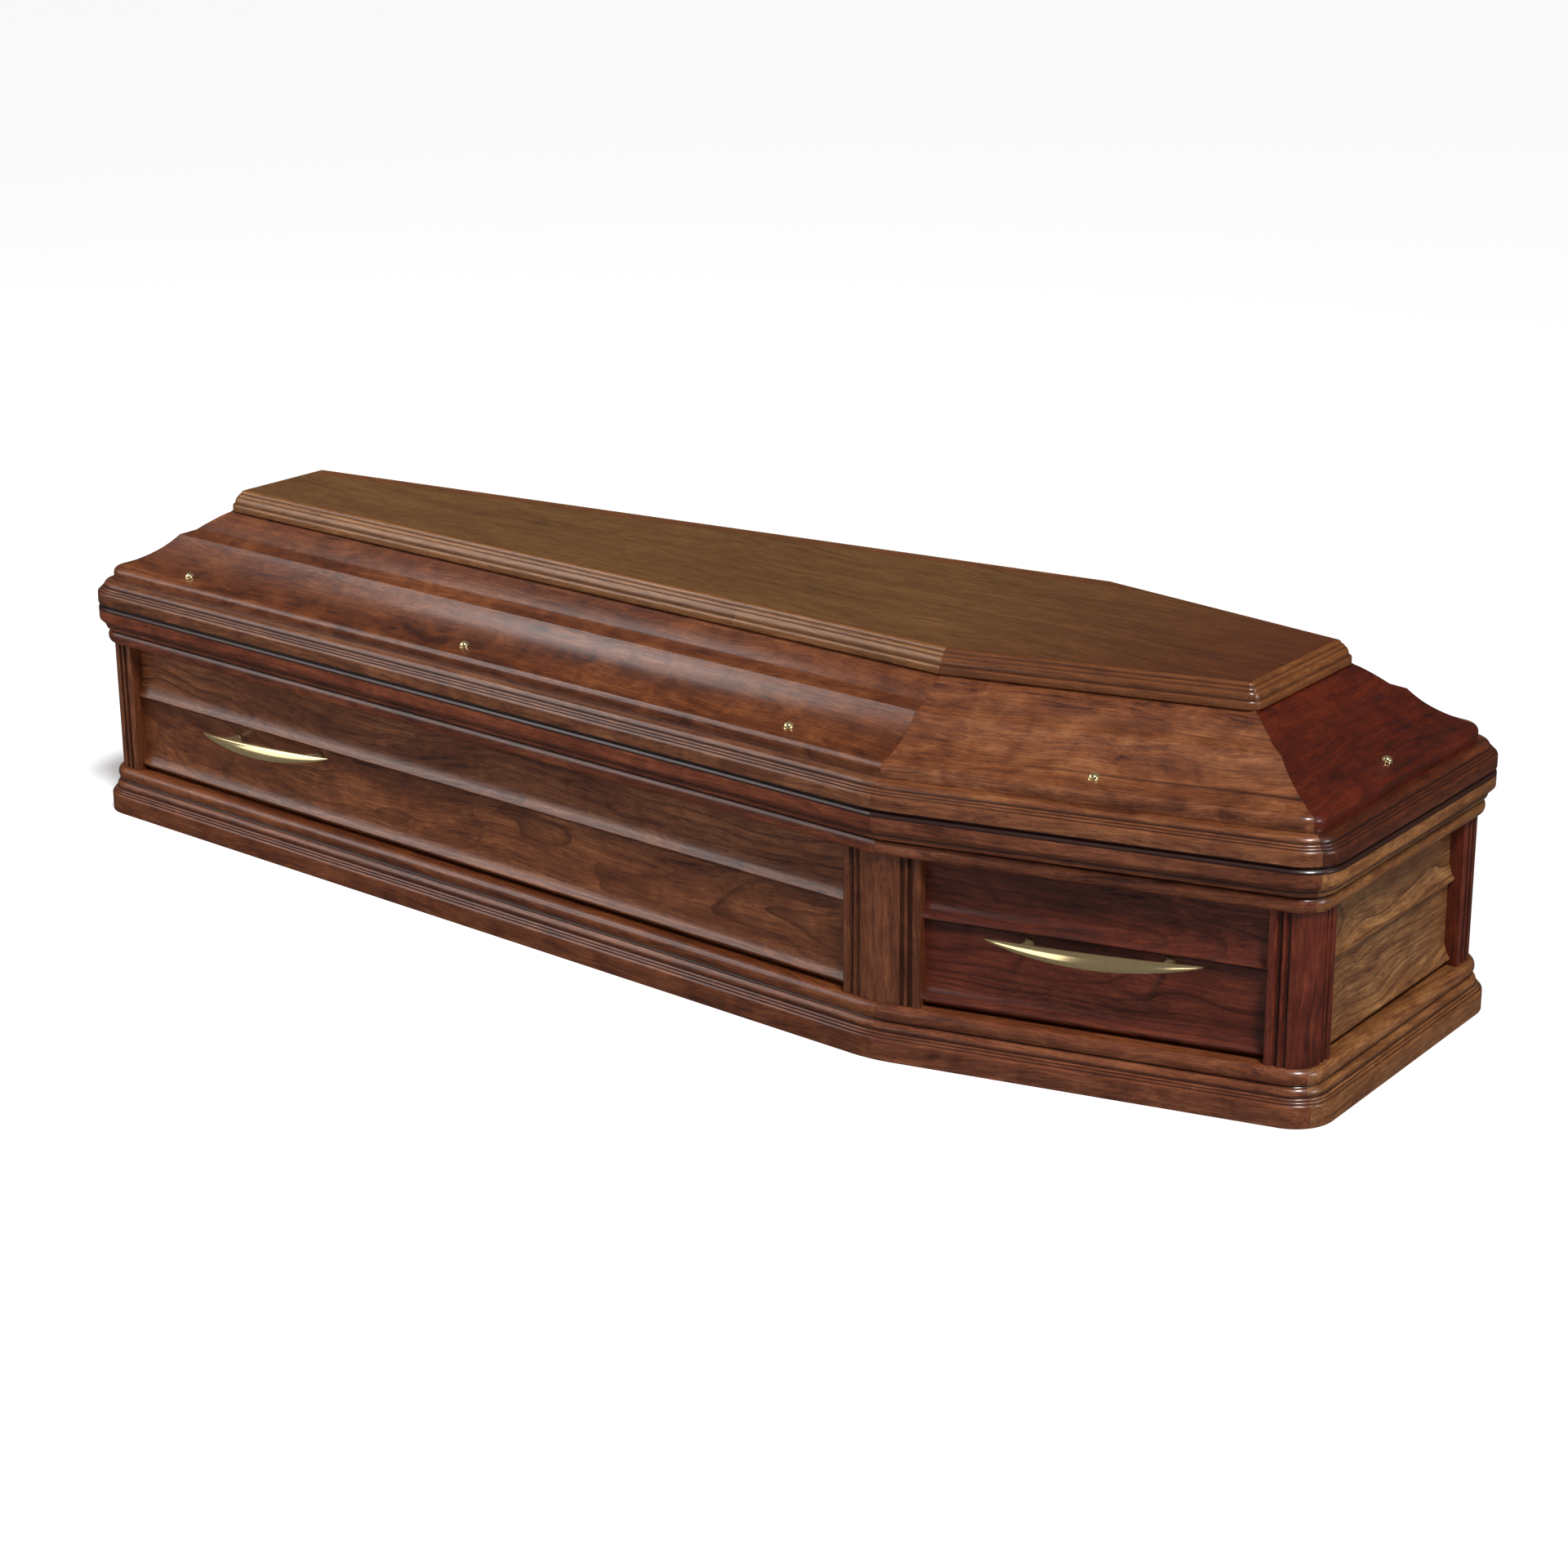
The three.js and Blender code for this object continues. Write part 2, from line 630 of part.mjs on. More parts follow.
// The left long edge is made of two lengths, butted square near the shoulder
function splitAtButtJoint(rows) {
  const along = alongSide(platePlan, 0);
  const joint = platePlan[1].clone().addScaledVector(along, -BUTT_JOINT_FROM_SHOULDER);
  const isFootward = (point) => point.clone().sub(joint).dot(along) < 0;
  const crossing = (points, clear) => {
    const last = points.filter(isFootward).at(-1);
    return last.clone().addScaledVector(along, joint.clone().sub(last).dot(along) + clear);
  };
  const footward = rows.map(({ z, points }) => (
    { z, points: [...points.filter(isFootward), crossing(points, -GAP / 2)] }));
  const headward = rows.map(({ z, points }) => (
    { z, points: [crossing(points, GAP / 2), ...points.filter((point) => !isFootward(point))] }));
  return [footward, headward];
}

// A domed stud standing square on a slope panel, a share of the way along that side
// How far in plan a side's slope runs, at a share of its length
function slopeRun(side, share) {
  const [foot, head] = [slopeFoot, slopeHead].map((plan) => (
    plan[side].clone().lerp(plan[after(side)], share)));
  return foot.sub(head).dot(outwardOf(bodyPlan, side));
}

function stud(side, name, share) {
  const run = slopeRun(side, share);
  const way = STUD_INSET / run;
  const plan = slopePlanAt(way);
  const place = plan[side].clone().lerp(plan[after(side)], share);
  const reach = STUD_RADIUS / run;
  const climb = slopeRiseAt(way + reach) - slopeRiseAt(way - reach);
  const tilt = Math.atan2(climb, 2 * STUD_RADIUS);
  const rise = (slopeRiseAt(way + reach) + slopeRiseAt(way - reach)) / 2;
  const profile = [
    new THREE.Vector2(0, 0),
    new THREE.Vector2(STUD_RADIUS, 0),
    new THREE.Vector2(STUD_RADIUS, STUD_FLANGE),
    ...arc([0, STUD_FLANGE], [STUD_RADIUS - STUD_SHOULDER, STUD_DOME], 0, 90, ROUND_STEPS + 1)
      .map(([radius, height]) => new THREE.Vector2(Math.max(radius, 0), height)),
  ];
  profile.at(-1).x = 0;
  const geometry = new THREE.LatheGeometry(profile, STUD_SIDES);
  geometry.rotateX(Math.PI / 2);
  const outwards = outwardOf(bodyPlan, side);
  const up = new THREE.Vector3(outwards.x * Math.sin(tilt), outwards.y * Math.sin(tilt), Math.cos(tilt));
  const mesh = addPiece(name, geometry, 'brass');
  mesh.quaternion.setFromUnitVectors(new THREE.Vector3(0, 0, 1), up);
  mesh.position.set(place.x, place.y, slopeBottom + rise).addScaledVector(up, GAP);
}

function studs() {
  for (const side of [0, 4]) {
    const plan = slopePlanAt(STUD_INSET / slopeRun(side, 1 / 2));
    const length = plan[side].distanceTo(plan[after(side)]);
    const footShare = STUD_FROM_FOOT / length;
    const shoulderShare = 1 - STUD_FROM_SHOULDER / length;
    const shares = [footShare, (footShare + shoulderShare) / 2, shoulderShare];
    const names = ['foot', 'middle', 'shoulder'];
    shares.forEach((share, index) => (
      stud(side, `stud_${SIDES[side]}_${names[index]}`, side === 0 ? share : 1 - share)));
  }
  for (const side of [1, 2, 3, 5]) stud(side, `stud_${SIDES[side]}`, 1 / 2);
}

// Bow handle, in its own frame: X along the side, -Y outwards, Z up from the line of its tips

function barGeometry() {
  const positions = [-HANDLE_LENGTH / 2, 0, -HANDLE_TIP_HEIGHT / 2];
  for (let station = 1; station < BAR_STATIONS; station += 1) {
    const way = -Math.cos(Math.PI * station / BAR_STATIONS);
    const belly = 1 - way * way;
    const height = HANDLE_TIP_HEIGHT + (HANDLE_HEIGHT - HANDLE_TIP_HEIGHT) * belly;
    const thickness = HANDLE_THICKNESS * Math.sqrt(belly);
    for (let corner = 0; corner < BAR_SIDES; corner += 1) {
      const angle = 2 * Math.PI * (corner + 0.5) / BAR_SIDES;
      const out = HANDLE_BULGE * belly + thickness / 2 * Math.cos(angle);
      positions.push(way * HANDLE_LENGTH / 2, -out, height / 2 * (Math.sin(angle) - 1));
    }
  }
  positions.push(HANDLE_LENGTH / 2, 0, -HANDLE_TIP_HEIGHT / 2);
  const triangles = [];
  const at = (station, corner) => 1 + station * BAR_SIDES + corner % BAR_SIDES;
  const last = positions.length / 3 - 1;
  for (let corner = 0; corner < BAR_SIDES; corner += 1) {
    triangles.push([0, at(0, corner), at(0, corner + 1)]);
    triangles.push([last, at(BAR_STATIONS - 2, corner + 1), at(BAR_STATIONS - 2, corner)]);
    for (let station = 0; station < BAR_STATIONS - 2; station += 1) {
      const [a, b] = [at(station, corner), at(station + 1, corner)];
      const [c, d] = [at(station + 1, corner + 1), at(station, corner + 1)];
      triangles.push([a, b, c], [a, c, d]);
    }
  }
  return welded(positions, triangles);
}

function solidOf(geometry) {
  const bare = geometry.clone();
  bare.deleteAttribute('normal');
  bare.deleteAttribute('uv');
  const merged = mergeVertices(bare);
  return new wasm.Manifold(new wasm.Mesh({
    numProp: 3,
    vertProperties: new Float32Array(merged.attributes.position.array),
    triVerts: new Uint32Array(merged.index.array),
  }));
}

function geometryOf(solid) {
  const { vertProperties, triVerts } = solid.getMesh();
  const geometry = new THREE.BufferGeometry();
  geometry.setAttribute('position', new THREE.Float32BufferAttribute(vertProperties, 3));
  geometry.setIndex([...triVerts]);
  geometry.computeVertexNormals();
  return geometry;
}

// The arm runs from the bar back to the panel, which stands `back` behind the tips
function armGeometry(along, back) {
  const way = 2 * along / HANDLE_LENGTH;
  const bar = new THREE.Vector3(along, -HANDLE_BULGE * (1 - way * way), 0);
  const foot = new THREE.Vector3(along, back, -ARM_DROP);
  const arm = new THREE.CylinderGeometry(ARM_RADIUS, ARM_RADIUS, bar.distanceTo(foot), BAR_SIDES);
  arm.rotateX(-Math.atan2(ARM_DROP, foot.y - bar.y));
  arm.translate(...bar.clone().lerp(foot, 1 / 2));
  const head = new THREE.SphereGeometry(ARM_HEAD_RADIUS, BAR_SIDES, BAR_SIDES / 2 + 1);
  head.translate(...bar);
  return [arm, head];
}

function handle(side, fromStart, height, tiltDegrees) {
  const tips = wallFace - PANEL_FIELD_SET + HANDLE_STANDOFF;
  const tilt = THREE.MathUtils.degToRad(tiltDegrees);
  const lean = Math.atan2(ARM_DROP, HANDLE_STANDOFF);
  let body = solidOf(barGeometry());
  for (const along of [-ARM_SPACING / 2, ARM_SPACING / 2]) {
    const armTop = height + along * Math.sin(tilt) - ARM_DROP + ARM_RADIUS;
    const face = Math.max(panelFaceAt(armTop), panelFaceAt(armTop - 2 * ARM_RADIUS));
    const back = tips - face - GAP - ARM_RADIUS * Math.sin(lean);
    for (const part of armGeometry(along, back)) body = body.add(solidOf(part));
  }
  const mesh = addPiece(`handle_${SIDES[side]}`, geometryOf(body), 'brass');
  const along = alongSide(bodyPlan, side);
  const place = bodyPlan[side].clone().addScaledVector(along, fromStart)
    .addScaledVector(outwardOf(bodyPlan, side), tips);
  mesh.position.set(place.x, place.y, height);
  mesh.rotation.set(0, -tilt, Math.atan2(along.y, along.x), 'ZYX');
}

function handles() {
  const lengthOf = (side) => bodyPlan[side].distanceTo(bodyPlan[after(side)]);
  handle(0, LONG_HANDLE_FROM_FOOT, LONG_HANDLE_HEIGHT, LONG_HANDLE_TILT);
  handle(4, lengthOf(4) - LONG_HANDLE_FROM_FOOT, LONG_HANDLE_HEIGHT, -LONG_HANDLE_TILT);
  handle(1, lengthOf(1) / 2, SHORT_HANDLE_HEIGHT, SHORT_HANDLE_TILT);
  handle(3, lengthOf(3) / 2, SHORT_HANDLE_HEIGHT, -SHORT_HANDLE_TILT);
}

plinth();
floor();
CORNERS.forEach((_, index) => post(index));
SIDES.forEach((_, index) => wallPanel(index));
rim();
lidFrame();
slopes();
plate();
studs();
handles();

export default coffin;
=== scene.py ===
import math

import bmesh
import bpy
from mathutils import Matrix, Vector

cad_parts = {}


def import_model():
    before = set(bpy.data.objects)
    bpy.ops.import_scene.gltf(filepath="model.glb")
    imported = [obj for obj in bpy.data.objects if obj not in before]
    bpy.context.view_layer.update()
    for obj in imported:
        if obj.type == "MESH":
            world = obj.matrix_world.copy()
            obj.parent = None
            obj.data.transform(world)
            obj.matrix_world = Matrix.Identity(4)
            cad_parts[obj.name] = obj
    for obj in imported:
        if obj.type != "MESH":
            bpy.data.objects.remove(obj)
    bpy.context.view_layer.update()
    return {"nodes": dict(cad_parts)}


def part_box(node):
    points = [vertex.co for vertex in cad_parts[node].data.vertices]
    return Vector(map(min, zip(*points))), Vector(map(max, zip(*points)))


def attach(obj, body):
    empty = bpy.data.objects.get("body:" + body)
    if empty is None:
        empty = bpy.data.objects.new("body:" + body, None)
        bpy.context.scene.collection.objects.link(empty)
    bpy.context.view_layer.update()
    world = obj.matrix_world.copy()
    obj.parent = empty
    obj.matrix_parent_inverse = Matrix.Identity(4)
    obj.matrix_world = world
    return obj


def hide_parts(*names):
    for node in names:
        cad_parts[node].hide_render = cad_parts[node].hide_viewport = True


bl_info = {
    "name": "Wooden coffin",
    "version": (1, 0, 0),
    "blender": (4, 5, 0),
    "location": "View3D > Sidebar > Coffin",
    "description": "Dresses the packed coffin with fine mouldings, lacquered wood and polished brass",
    "category": "Object",
}

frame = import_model()
BODY = "root"
MM = 0.001
UP = Vector((0.0, 0.0, 1.0))
LENGTHWISE = Vector((1.0, 0.0, 0.0))
CROSSWISE = Vector((0.0, 1.0, 0.0))

# Corners run anticlockwise from the foot's left corner, and a side starts at the corner of its number
SIDES = ("left_long", "left_short", "head", "right_short", "right_long", "foot")
CORNERS = ("foot_left", "shoulder_left", "head_left", "head_right", "shoulder_right", "foot_right")
SHOULDERS = (1, 4)

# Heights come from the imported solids
PLINTH_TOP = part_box("plinth_head")[1].z
WALL_BOTTOM, WALL_TOP = (corner.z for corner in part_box("post_head_left"))
RIM_BOTTOM, RIM_TOP = (corner.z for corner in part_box("rim_head"))
FRAME_BOTTOM, FRAME_TOP = (corner.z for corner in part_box("lid_frame_head"))
SLOPE_BOTTOM, SLOPE_TOP = (corner.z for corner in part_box("slope_head"))
PLATE_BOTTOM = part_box("plate_edge_head")[0].z
BOARD_BOTTOM, BOARD_TOP = (corner.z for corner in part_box("top_board"))
FLOOR_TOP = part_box("floor")[1].z
HALF_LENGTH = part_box("plinth_head")[1].x

# Plans, in metres: half widths at foot, shoulders and head
BODY_HALF_WIDTHS = (0.241, 0.355, 0.239)
SHOULDER_FROM_HEAD = 0.534
PLATE_HALF_WIDTHS = (0.0805, 0.1887, 0.1097)
PLATE_FOOT_INSET = 0.1765
PLATE_HEAD_INSET = 0.1723
PLATE_SHOULDER_SHIFT = 0.0033
CORNER_RADIUS = 0.055
SHOULDER_RADIUS = 0.2
GAP = 0.0003
WALL_DEPTH = 0.062
POST_LEG = 54 * MM

# Moulding of plinth and rim: the inward step of each member, and how far the bead stands out
ROUND_IN = 3 * MM
REED_IN = 2.5 * MM
OVOLO_IN = 6.5 * MM
BEAD_IN = 4.7 * MM
BEAD_PROUD = 8.2 * MM
BEAD_STEP = 1 * MM
WALL_FACE = -(ROUND_IN + 2 * REED_IN + OVOLO_IN + BEAD_IN)
FIELD_IN = 18.8 * MM

# Fineness of the dressed pieces
ROUND_STEPS = 6
BEAD_STEPS = 14
CORNER_STEPS = 9
SHOULDER_STEPS = 4
SHARP_ANGLE = math.radians(28)
BRASS_SHARP_ANGLE = math.radians(50)
SUPPORT_REACH = 1.2 * MM
EDGE_ROOM = 2.2
ARRIS_FULLNESS = 0.4
SPECK = 1e-8
WELD = 1e-7

# Painted shade darkens inner corners: none up to the first angle, and all of it the second angle further on
HOLLOW_FROM = math.radians(12)
HOLLOW_FULL = math.radians(65)
HOLLOW_STRENGTH = 0.95
HOLLOW_REACH = 3.5 * MM
HOLLOW_SPREAD = 0.55

# Painted shadow round the joint of rim and lid, on the rim under the lid's overhang and on the lid frame's
# lower edge, as its lowest and highest point
BAND_MARGIN = 0.1 * MM
LID_SHADE = 5 * MM
LID_SHADE_ABOVE = 3.8 * MM
LID_JOINT_SHADOW = (RIM_TOP - LID_SHADE - BAND_MARGIN, FRAME_BOTTOM + LID_SHADE_ABOVE)

# Each kind of piece starts at its own number, and each number gives another place in the tree
SEEDS = {
    "plinth": 1, "floor": 8, "rim": 21, "lid_frame": 31, "post": 43, "panel": 51, "slope": 61,
    "plate_edge": 71, "top_board": 79, "stud": 5, "handle": 3,
}
POST_SEED_STEP = 3
PLATE_PART_SEED_STEP = 10
HEART_START = (0.0, 0.05, -0.08)
HEART_STEP = (3.71, 0.137, 0.211)
HEART_RANGE = (9.0, 0.09, 0.16)

# How each length of wood differs from the common colour, as factors of red, green and blue: partly the
# wood's own tone, partly painted light and shade, such as the painted sheen of the paler head end and the
# painted shade of the darker head slope and frame
TONES_AND_PAINTED_LIGHT = {
    "slope_left_long": (0.86, 0.76, 0.65),
    "slope_left_short": (1.3, 1.4, 1.6),
    "slope_head": (0.5, 0.17, 0.09),
    "plate_edge_left_long": (1.4, 1.3, 1.35),
    "plate_edge_left_short": (0.97, 0.7, 0.7),
    "plate_edge_head": (1.1, 0.85, 0.8),
    "lid_frame_left_long": (0.97, 1.05, 1.1),
    "lid_frame_left_short": (1.22, 1.3, 1.4),
    "lid_frame_head": (0.54, 0.37, 0.3),
    "rim_left_long": (1.05, 0.76, 0.7),
    "rim_left_short": (1.1, 1.0, 1.1),
    "rim_head": (1.4, 1.8, 1.6),
    "panel_left_long": (1.05, 1.05, 1.0),
    "panel_left_short": (0.68, 0.38, 0.42),
    "panel_head": (1.25, 1.85, 2.1),
    "plinth_left_long": (0.9, 0.78, 0.65),
    "plinth_left_short": (1.08, 1.0, 1.1),
    "plinth_head": (1.25, 1.6, 1.6),
    "post_shoulder_left": (0.93, 0.88, 0.93),
    "post_head_left": (0.77, 0.38, 0.38),
}
NO_TINT = (1.0, 1.0, 1.0)


def tint_of(node):
    """The tint of a piece. The unseen right side has the left side's."""
    name = node.replace("right", "left")
    return next((tint for start, tint in TONES_AND_PAINTED_LIGHT.items() if name.startswith(start)), NO_TINT)


class CoffinSizes(bpy.types.PropertyGroup):
    """Sizes of the dressed pieces."""

    arris: bpy.props.FloatProperty(
        name="Eased edge", description="How much the sharp edges are eased",
        default=0.0006, min=0.0, subtype="DISTANCE", unit="LENGTH")
    stud_radius: bpy.props.FloatProperty(
        name="Stud radius", description="Radius of the domed studs",
        default=0.007, subtype="DISTANCE", unit="LENGTH")
    bar_thickness: bpy.props.FloatProperty(
        name="Bar thickness", description="Thickness of the handles' bars",
        default=0.007, subtype="DISTANCE", unit="LENGTH")
    board_joint: bpy.props.FloatProperty(
        name="Board joint", description="Distance of the top board's glue line from its far edge",
        default=0.017, subtype="DISTANCE", unit="LENGTH")


class CoffinLooks(bpy.types.PropertyGroup):
    """Colours of the wood and the brass."""

    wood_dark: bpy.props.FloatVectorProperty(
        name="Dark wood", description="Darkest streaks of the body wood",
        default=(0.03, 0.006, 0.002), size=3, subtype="COLOR")
    wood_mid: bpy.props.FloatVectorProperty(
        name="Body wood", description="Main colour of the body wood",
        default=(0.109, 0.03, 0.0085), size=3, subtype="COLOR")
    wood_light: bpy.props.FloatVectorProperty(
        name="Light wood", description="Lightest streaks of the body wood",
        default=(0.2, 0.069, 0.023), size=3, subtype="COLOR")
    top_dark: bpy.props.FloatVectorProperty(
        name="Dark top wood", description="Darkest streaks of the top board",
        default=(0.05, 0.018, 0.005), size=3, subtype="COLOR")
    top_mid: bpy.props.FloatVectorProperty(
        name="Top wood", description="Main colour of the top board",
        default=(0.128, 0.054, 0.014), size=3, subtype="COLOR")
    top_light: bpy.props.FloatVectorProperty(
        name="Light top wood", description="Lightest streaks of the top board",
        default=(0.19, 0.09, 0.026), size=3, subtype="COLOR")
    brass: bpy.props.FloatVectorProperty(
        name="Brass", description="Colour of the polished brass",
        default=(0.88, 0.63, 0.35), size=3, subtype="COLOR")


# Shader maths


class Flow:
    """One socket of a node tree. Sums and products of flows add Math or Vector Math nodes."""

    def __init__(self, net, socket):
        self.net = net
        self.socket = socket

    def _join(self, operation, first, second):
        items = (first, second)
        if not any(is_vector(item) for item in items):
            return self.net.node("ShaderNodeMath", {"operation": operation}, dict(enumerate(items)))
        items = [(item,) * 3 if isinstance(item, (int, float)) else item for item in items]
        return self.net.node("ShaderNodeVectorMath", {"operation": operation}, dict(enumerate(items)))

    def __add__(self, other):
        return self._join("ADD", self, other)

    def __radd__(self, other):
        return self._join("ADD", other, self)

    def __sub__(self, other):
        return self._join("SUBTRACT", self, other)

    def __rsub__(self, other):
        return self._join("SUBTRACT", other, self)

    def __mul__(self, other):
        return self._join("MULTIPLY", self, other)

    def __rmul__(self, other):
        return self._join("MULTIPLY", other, self)


def is_vector(item):
    return isinstance(item, tuple) or (isinstance(item, Flow) and item.socket.type in ("VECTOR", "RGBA"))


class Net:
    """The node tree of one material, with its Principled shader."""

    def __init__(self, name):
        self.material = bpy.data.materials.new(name)
        self.material.use_nodes = True
        self.tree = self.material.node_tree
        self.shader = self.tree.nodes["Principled BSDF"]

    def node(self, kind, settings=None, sockets=None, output=0):
        """Adds a node: first its settings, then the values or links of its sockets."""
        added = self.tree.nodes.new(kind)
        for key, value in (settings or {}).items():
            if key == "stops":
                self._stops(added.color_ramp, value)
            else:
                setattr(added, key, value)
        for key, value in (sockets or {}).items():
            self.feed(added.inputs[key], value)
        return Flow(self, added.outputs[output])

    def _stops(self, ramp, stops):
        while len(ramp.elements) < len(stops):
            ramp.elements.new(1.0)
        for element, (place, colour) in zip(ramp.elements, stops):
            element.position = place
            element.color = (*colour, 1.0)

    def feed(self, socket, value):
        if isinstance(value, Flow):
            self.tree.links.new(value.socket, socket)
        elif isinstance(value, (tuple, Vector)) and socket.type == "RGBA":
            socket.default_value = (*value, 1.0)
        else:
            socket.default_value = value

    def set(self, **values):
        for key, value in values.items():
            self.feed(self.shader.inputs[key.replace("_", " ")], value)

    def noise(self, place, scale=1.0, detail=2.0, roughness=0.5, distortion=0.0, output="Fac"):
        sockets = {"Vector": place, "Scale": scale, "Detail": detail, "Roughness": roughness,
                   "Distortion": distortion}
        return self.node("ShaderNodeTexNoise", {"noise_dimensions": "3D"}, sockets, output)

    def remap(self, value, low, high, to_low=0.0, to_high=1.0):
        sockets = {"Value": value, "From Min": low, "From Max": high, "To Min": to_low, "To Max": to_high}
        return self.node("ShaderNodeMapRange", {"clamp": True}, sockets)

    def mix(self, factor, first, second):
        settings = {"data_type": "RGBA", "blend_type": "MIX", "clamp_factor": True}
        return self.node("ShaderNodeMix", settings, {0: factor, 6: first, 7: second}, output=2)

    def ramp(self, level, stops):
        return self.node("ShaderNodeValToRGB", {"stops": stops}, {"Fac": level}, output="Color")

    def bump(self, height, strength, distance):
        sockets = {"Strength": strength, "Distance": distance, "Height": height}
        return self.node("ShaderNodeBump", {}, sockets)

    def attribute(self, name, output="Vector"):
        settings = {"attribute_type": "GEOMETRY", "attribute_name": name}
        return self.node("ShaderNodeAttribute", settings, output=output)

    def grain(self):
        return self.attribute("grain")


# Noise cells per metre, along the grain and across it, of each kind of figure in lacquered wood
DRIFT_CELLS = (1.9, 4.5, 4.5)
CLOUD_CELLS = (3.0, 15.0, 15.0)
PATCH_CELLS = (26.0, 34.0, 34.0)
STREAK_CELLS = (3.5, 130.0, 130.0)
FIBRE_CELLS = (14.0, 420.0, 420.0)
PORE_CELLS = (70.0, 900.0, 900.0)
VEIN_CELLS = (2.0, 30.0, 30.0)

# How far the grain wanders off its line, and how much longer growth rings are than wide
DRIFT_REACH = (0.0, 0.1, 0.1)
RING_STRETCH = (0.1, 1.0, 1.0)

# A wave texture of scale 1 has its rings this far apart
RING_PITCH = 0.314
STREAK_CONTRAST = 1.2
FIBRE_CONTRAST = 1.5
MIDDLE = 0.5
# Colour of the painted shade in inner corners and of the painted shadow bands
PAINTED_SHADE_COLOUR = (0.014, 0.003, 0.002)
LACQUER = {"Coat_Weight": 0.5, "Coat_Roughness": 0.17, "Coat_IOR": 1.5, "Specular_IOR_Level": 0.3}

# Noise cells per metre of planed wood, and of the haze on brass with the factor by which it darkens
BARE_BAND_CELLS = (0.8, 16.0, 16.0)
BARE_FIBRE_CELLS = (12.0, 430.0, 430.0)
HAZE_CELLS = 20.0
HAZE_DARKENING = 0.85


def lacquered_wood(name, dark, mid, light, figure=0.9, clouds=1.1, lines=0.35, veins=0.6, spacing=0.007):
    """Figured hardwood under a clear lacquer. The grain runs along X of the grain space."""
    net = Net(name)
    grain = net.grain()
    drift = net.noise(grain * DRIFT_CELLS, detail=3.0, output="Color") - MIDDLE
    bent = grain + drift * DRIFT_REACH
    cloud = net.noise(bent * CLOUD_CELLS, detail=3.0, roughness=0.55)
    patch = net.noise(bent * PATCH_CELLS, detail=3.0, roughness=0.55, distortion=0.6)
    streak = net.noise(bent * STREAK_CELLS, detail=4.0, roughness=0.7)
    fibre = net.noise(bent * FIBRE_CELLS, detail=3.0, roughness=0.7)
    pore = net.noise(bent * PORE_CELLS, detail=1.0)
    level = (cloud - MIDDLE) * clouds + (patch - MIDDLE) * figure + (streak - MIDDLE) * STREAK_CONTRAST
    level = level + (fibre - MIDDLE) * FIBRE_CONTRAST + MIDDLE
    stops = [(0.0, dark), (0.25, blend(dark, mid, 0.6)), (0.5, mid), (1.0, light)]
    colour = net.ramp(level, stops)
    wave = {"wave_type": "RINGS", "rings_direction": "X", "wave_profile": "SAW"}
    ring = net.node("ShaderNodeTexWave", wave, {
        "Vector": bent * RING_STRETCH, "Scale": RING_PITCH / spacing, "Distortion": 1.6, "Detail": 2.0,
        "Detail Scale": 0.8, "Detail Roughness": 0.6}, output="Fac")
    line = net.remap(ring, 0.72, 1.0) * net.remap(cloud, 0.35, 0.65, 0.25, 1.0) * lines
    colour = net.mix(line, colour, dark)
    vein = net.noise(bent * VEIN_CELLS, detail=5.0, roughness=0.62, distortion=0.6)
    vein = vein * 0.65 + streak * 0.25 + fibre * 0.1
    colour = net.mix(net.remap(vein, 0.55, 0.63, 0.0, veins), colour, dark)
    colour = net.mix(net.remap(pore, 0.3, 0.42, 0.6, 0.0), colour, dark)
    colour = colour * net.attribute("tint")
    # Painted shade: inner corners and the shadowed bands are darkened towards a near-black red
    colour = net.mix(net.attribute("hollow", "Fac"), colour, PAINTED_SHADE_COLOUR)
    net.set(Base_Color=colour, Roughness=net.remap(fibre, 0.3, 0.7, 0.5, 0.36), **LACQUER)
    net.set(Normal=net.bump(fibre * 0.6 + pore * 0.4, strength=0.12, distance=0.0004))
    return net.material


def blend(first, second, way):
    return tuple(a + (b - a) * way for a, b in zip(first, second))


def bare_wood(name, dark, mid, light):
    """Planed wood with no finish, for the inside of the box."""
    net = Net(name)
    grain = net.grain()
    bands = net.noise(grain * BARE_BAND_CELLS, detail=3.0, roughness=0.55, distortion=0.5)
    fibres = net.noise(grain * BARE_FIBRE_CELLS, detail=2.0)
    level = net.remap(bands * 0.7 + fibres * 0.3, 0.35, 0.65)
    colour = net.ramp(level, [(0.0, dark), (0.5, mid), (1.0, light)])
    net.set(Base_Color=colour, Roughness=net.remap(fibres, 0.3, 0.7, 0.75, 0.6))
    net.set(Normal=net.bump(fibres, strength=0.25, distance=0.0005))
    return net.material


def polished_brass(name, colour):
    """Polished brass with a faint haze and slightly darker patches."""
    net = Net(name)
    haze = net.noise(net.grain(), scale=HAZE_CELLS, detail=1.0)
    darker = tuple(channel * HAZE_DARKENING for channel in colour)
    net.set(Base_Color=net.mix(net.remap(haze, 0.4, 0.7), colour, darker))
    net.set(Metallic=1.0, Roughness=net.remap(haze, 0.3, 0.7, 0.07, 0.1))
    return net.material


# Plans and sections


def outline(foot_x, shoulder_x, head_x, half_widths):
    """Six corners, with the right side as the mirror image of the left."""
    left = [Vector((x, -half)) for x, half in zip((foot_x, shoulder_x, head_x), half_widths)]
    return left + [Vector((corner.x, -corner.y)) for corner in reversed(left)]


def after(index):
    return (index + 1) % len(SIDES)


def before(index):
    return (index - 1) % len(SIDES)


def along_side(plan, side):
    return (plan[after(side)] - plan[side]).normalized()


def outward_of(plan, side):
    along = along_side(plan, side)
    return Vector((along.y, -along.x))


def corner_reach(plan, index):
    """How a corner moves when both its sides are set out by 1."""
    first, second = outward_of(plan, before(index)), outward_of(plan, index)
    return (first + second) / (1 + first.dot(second))


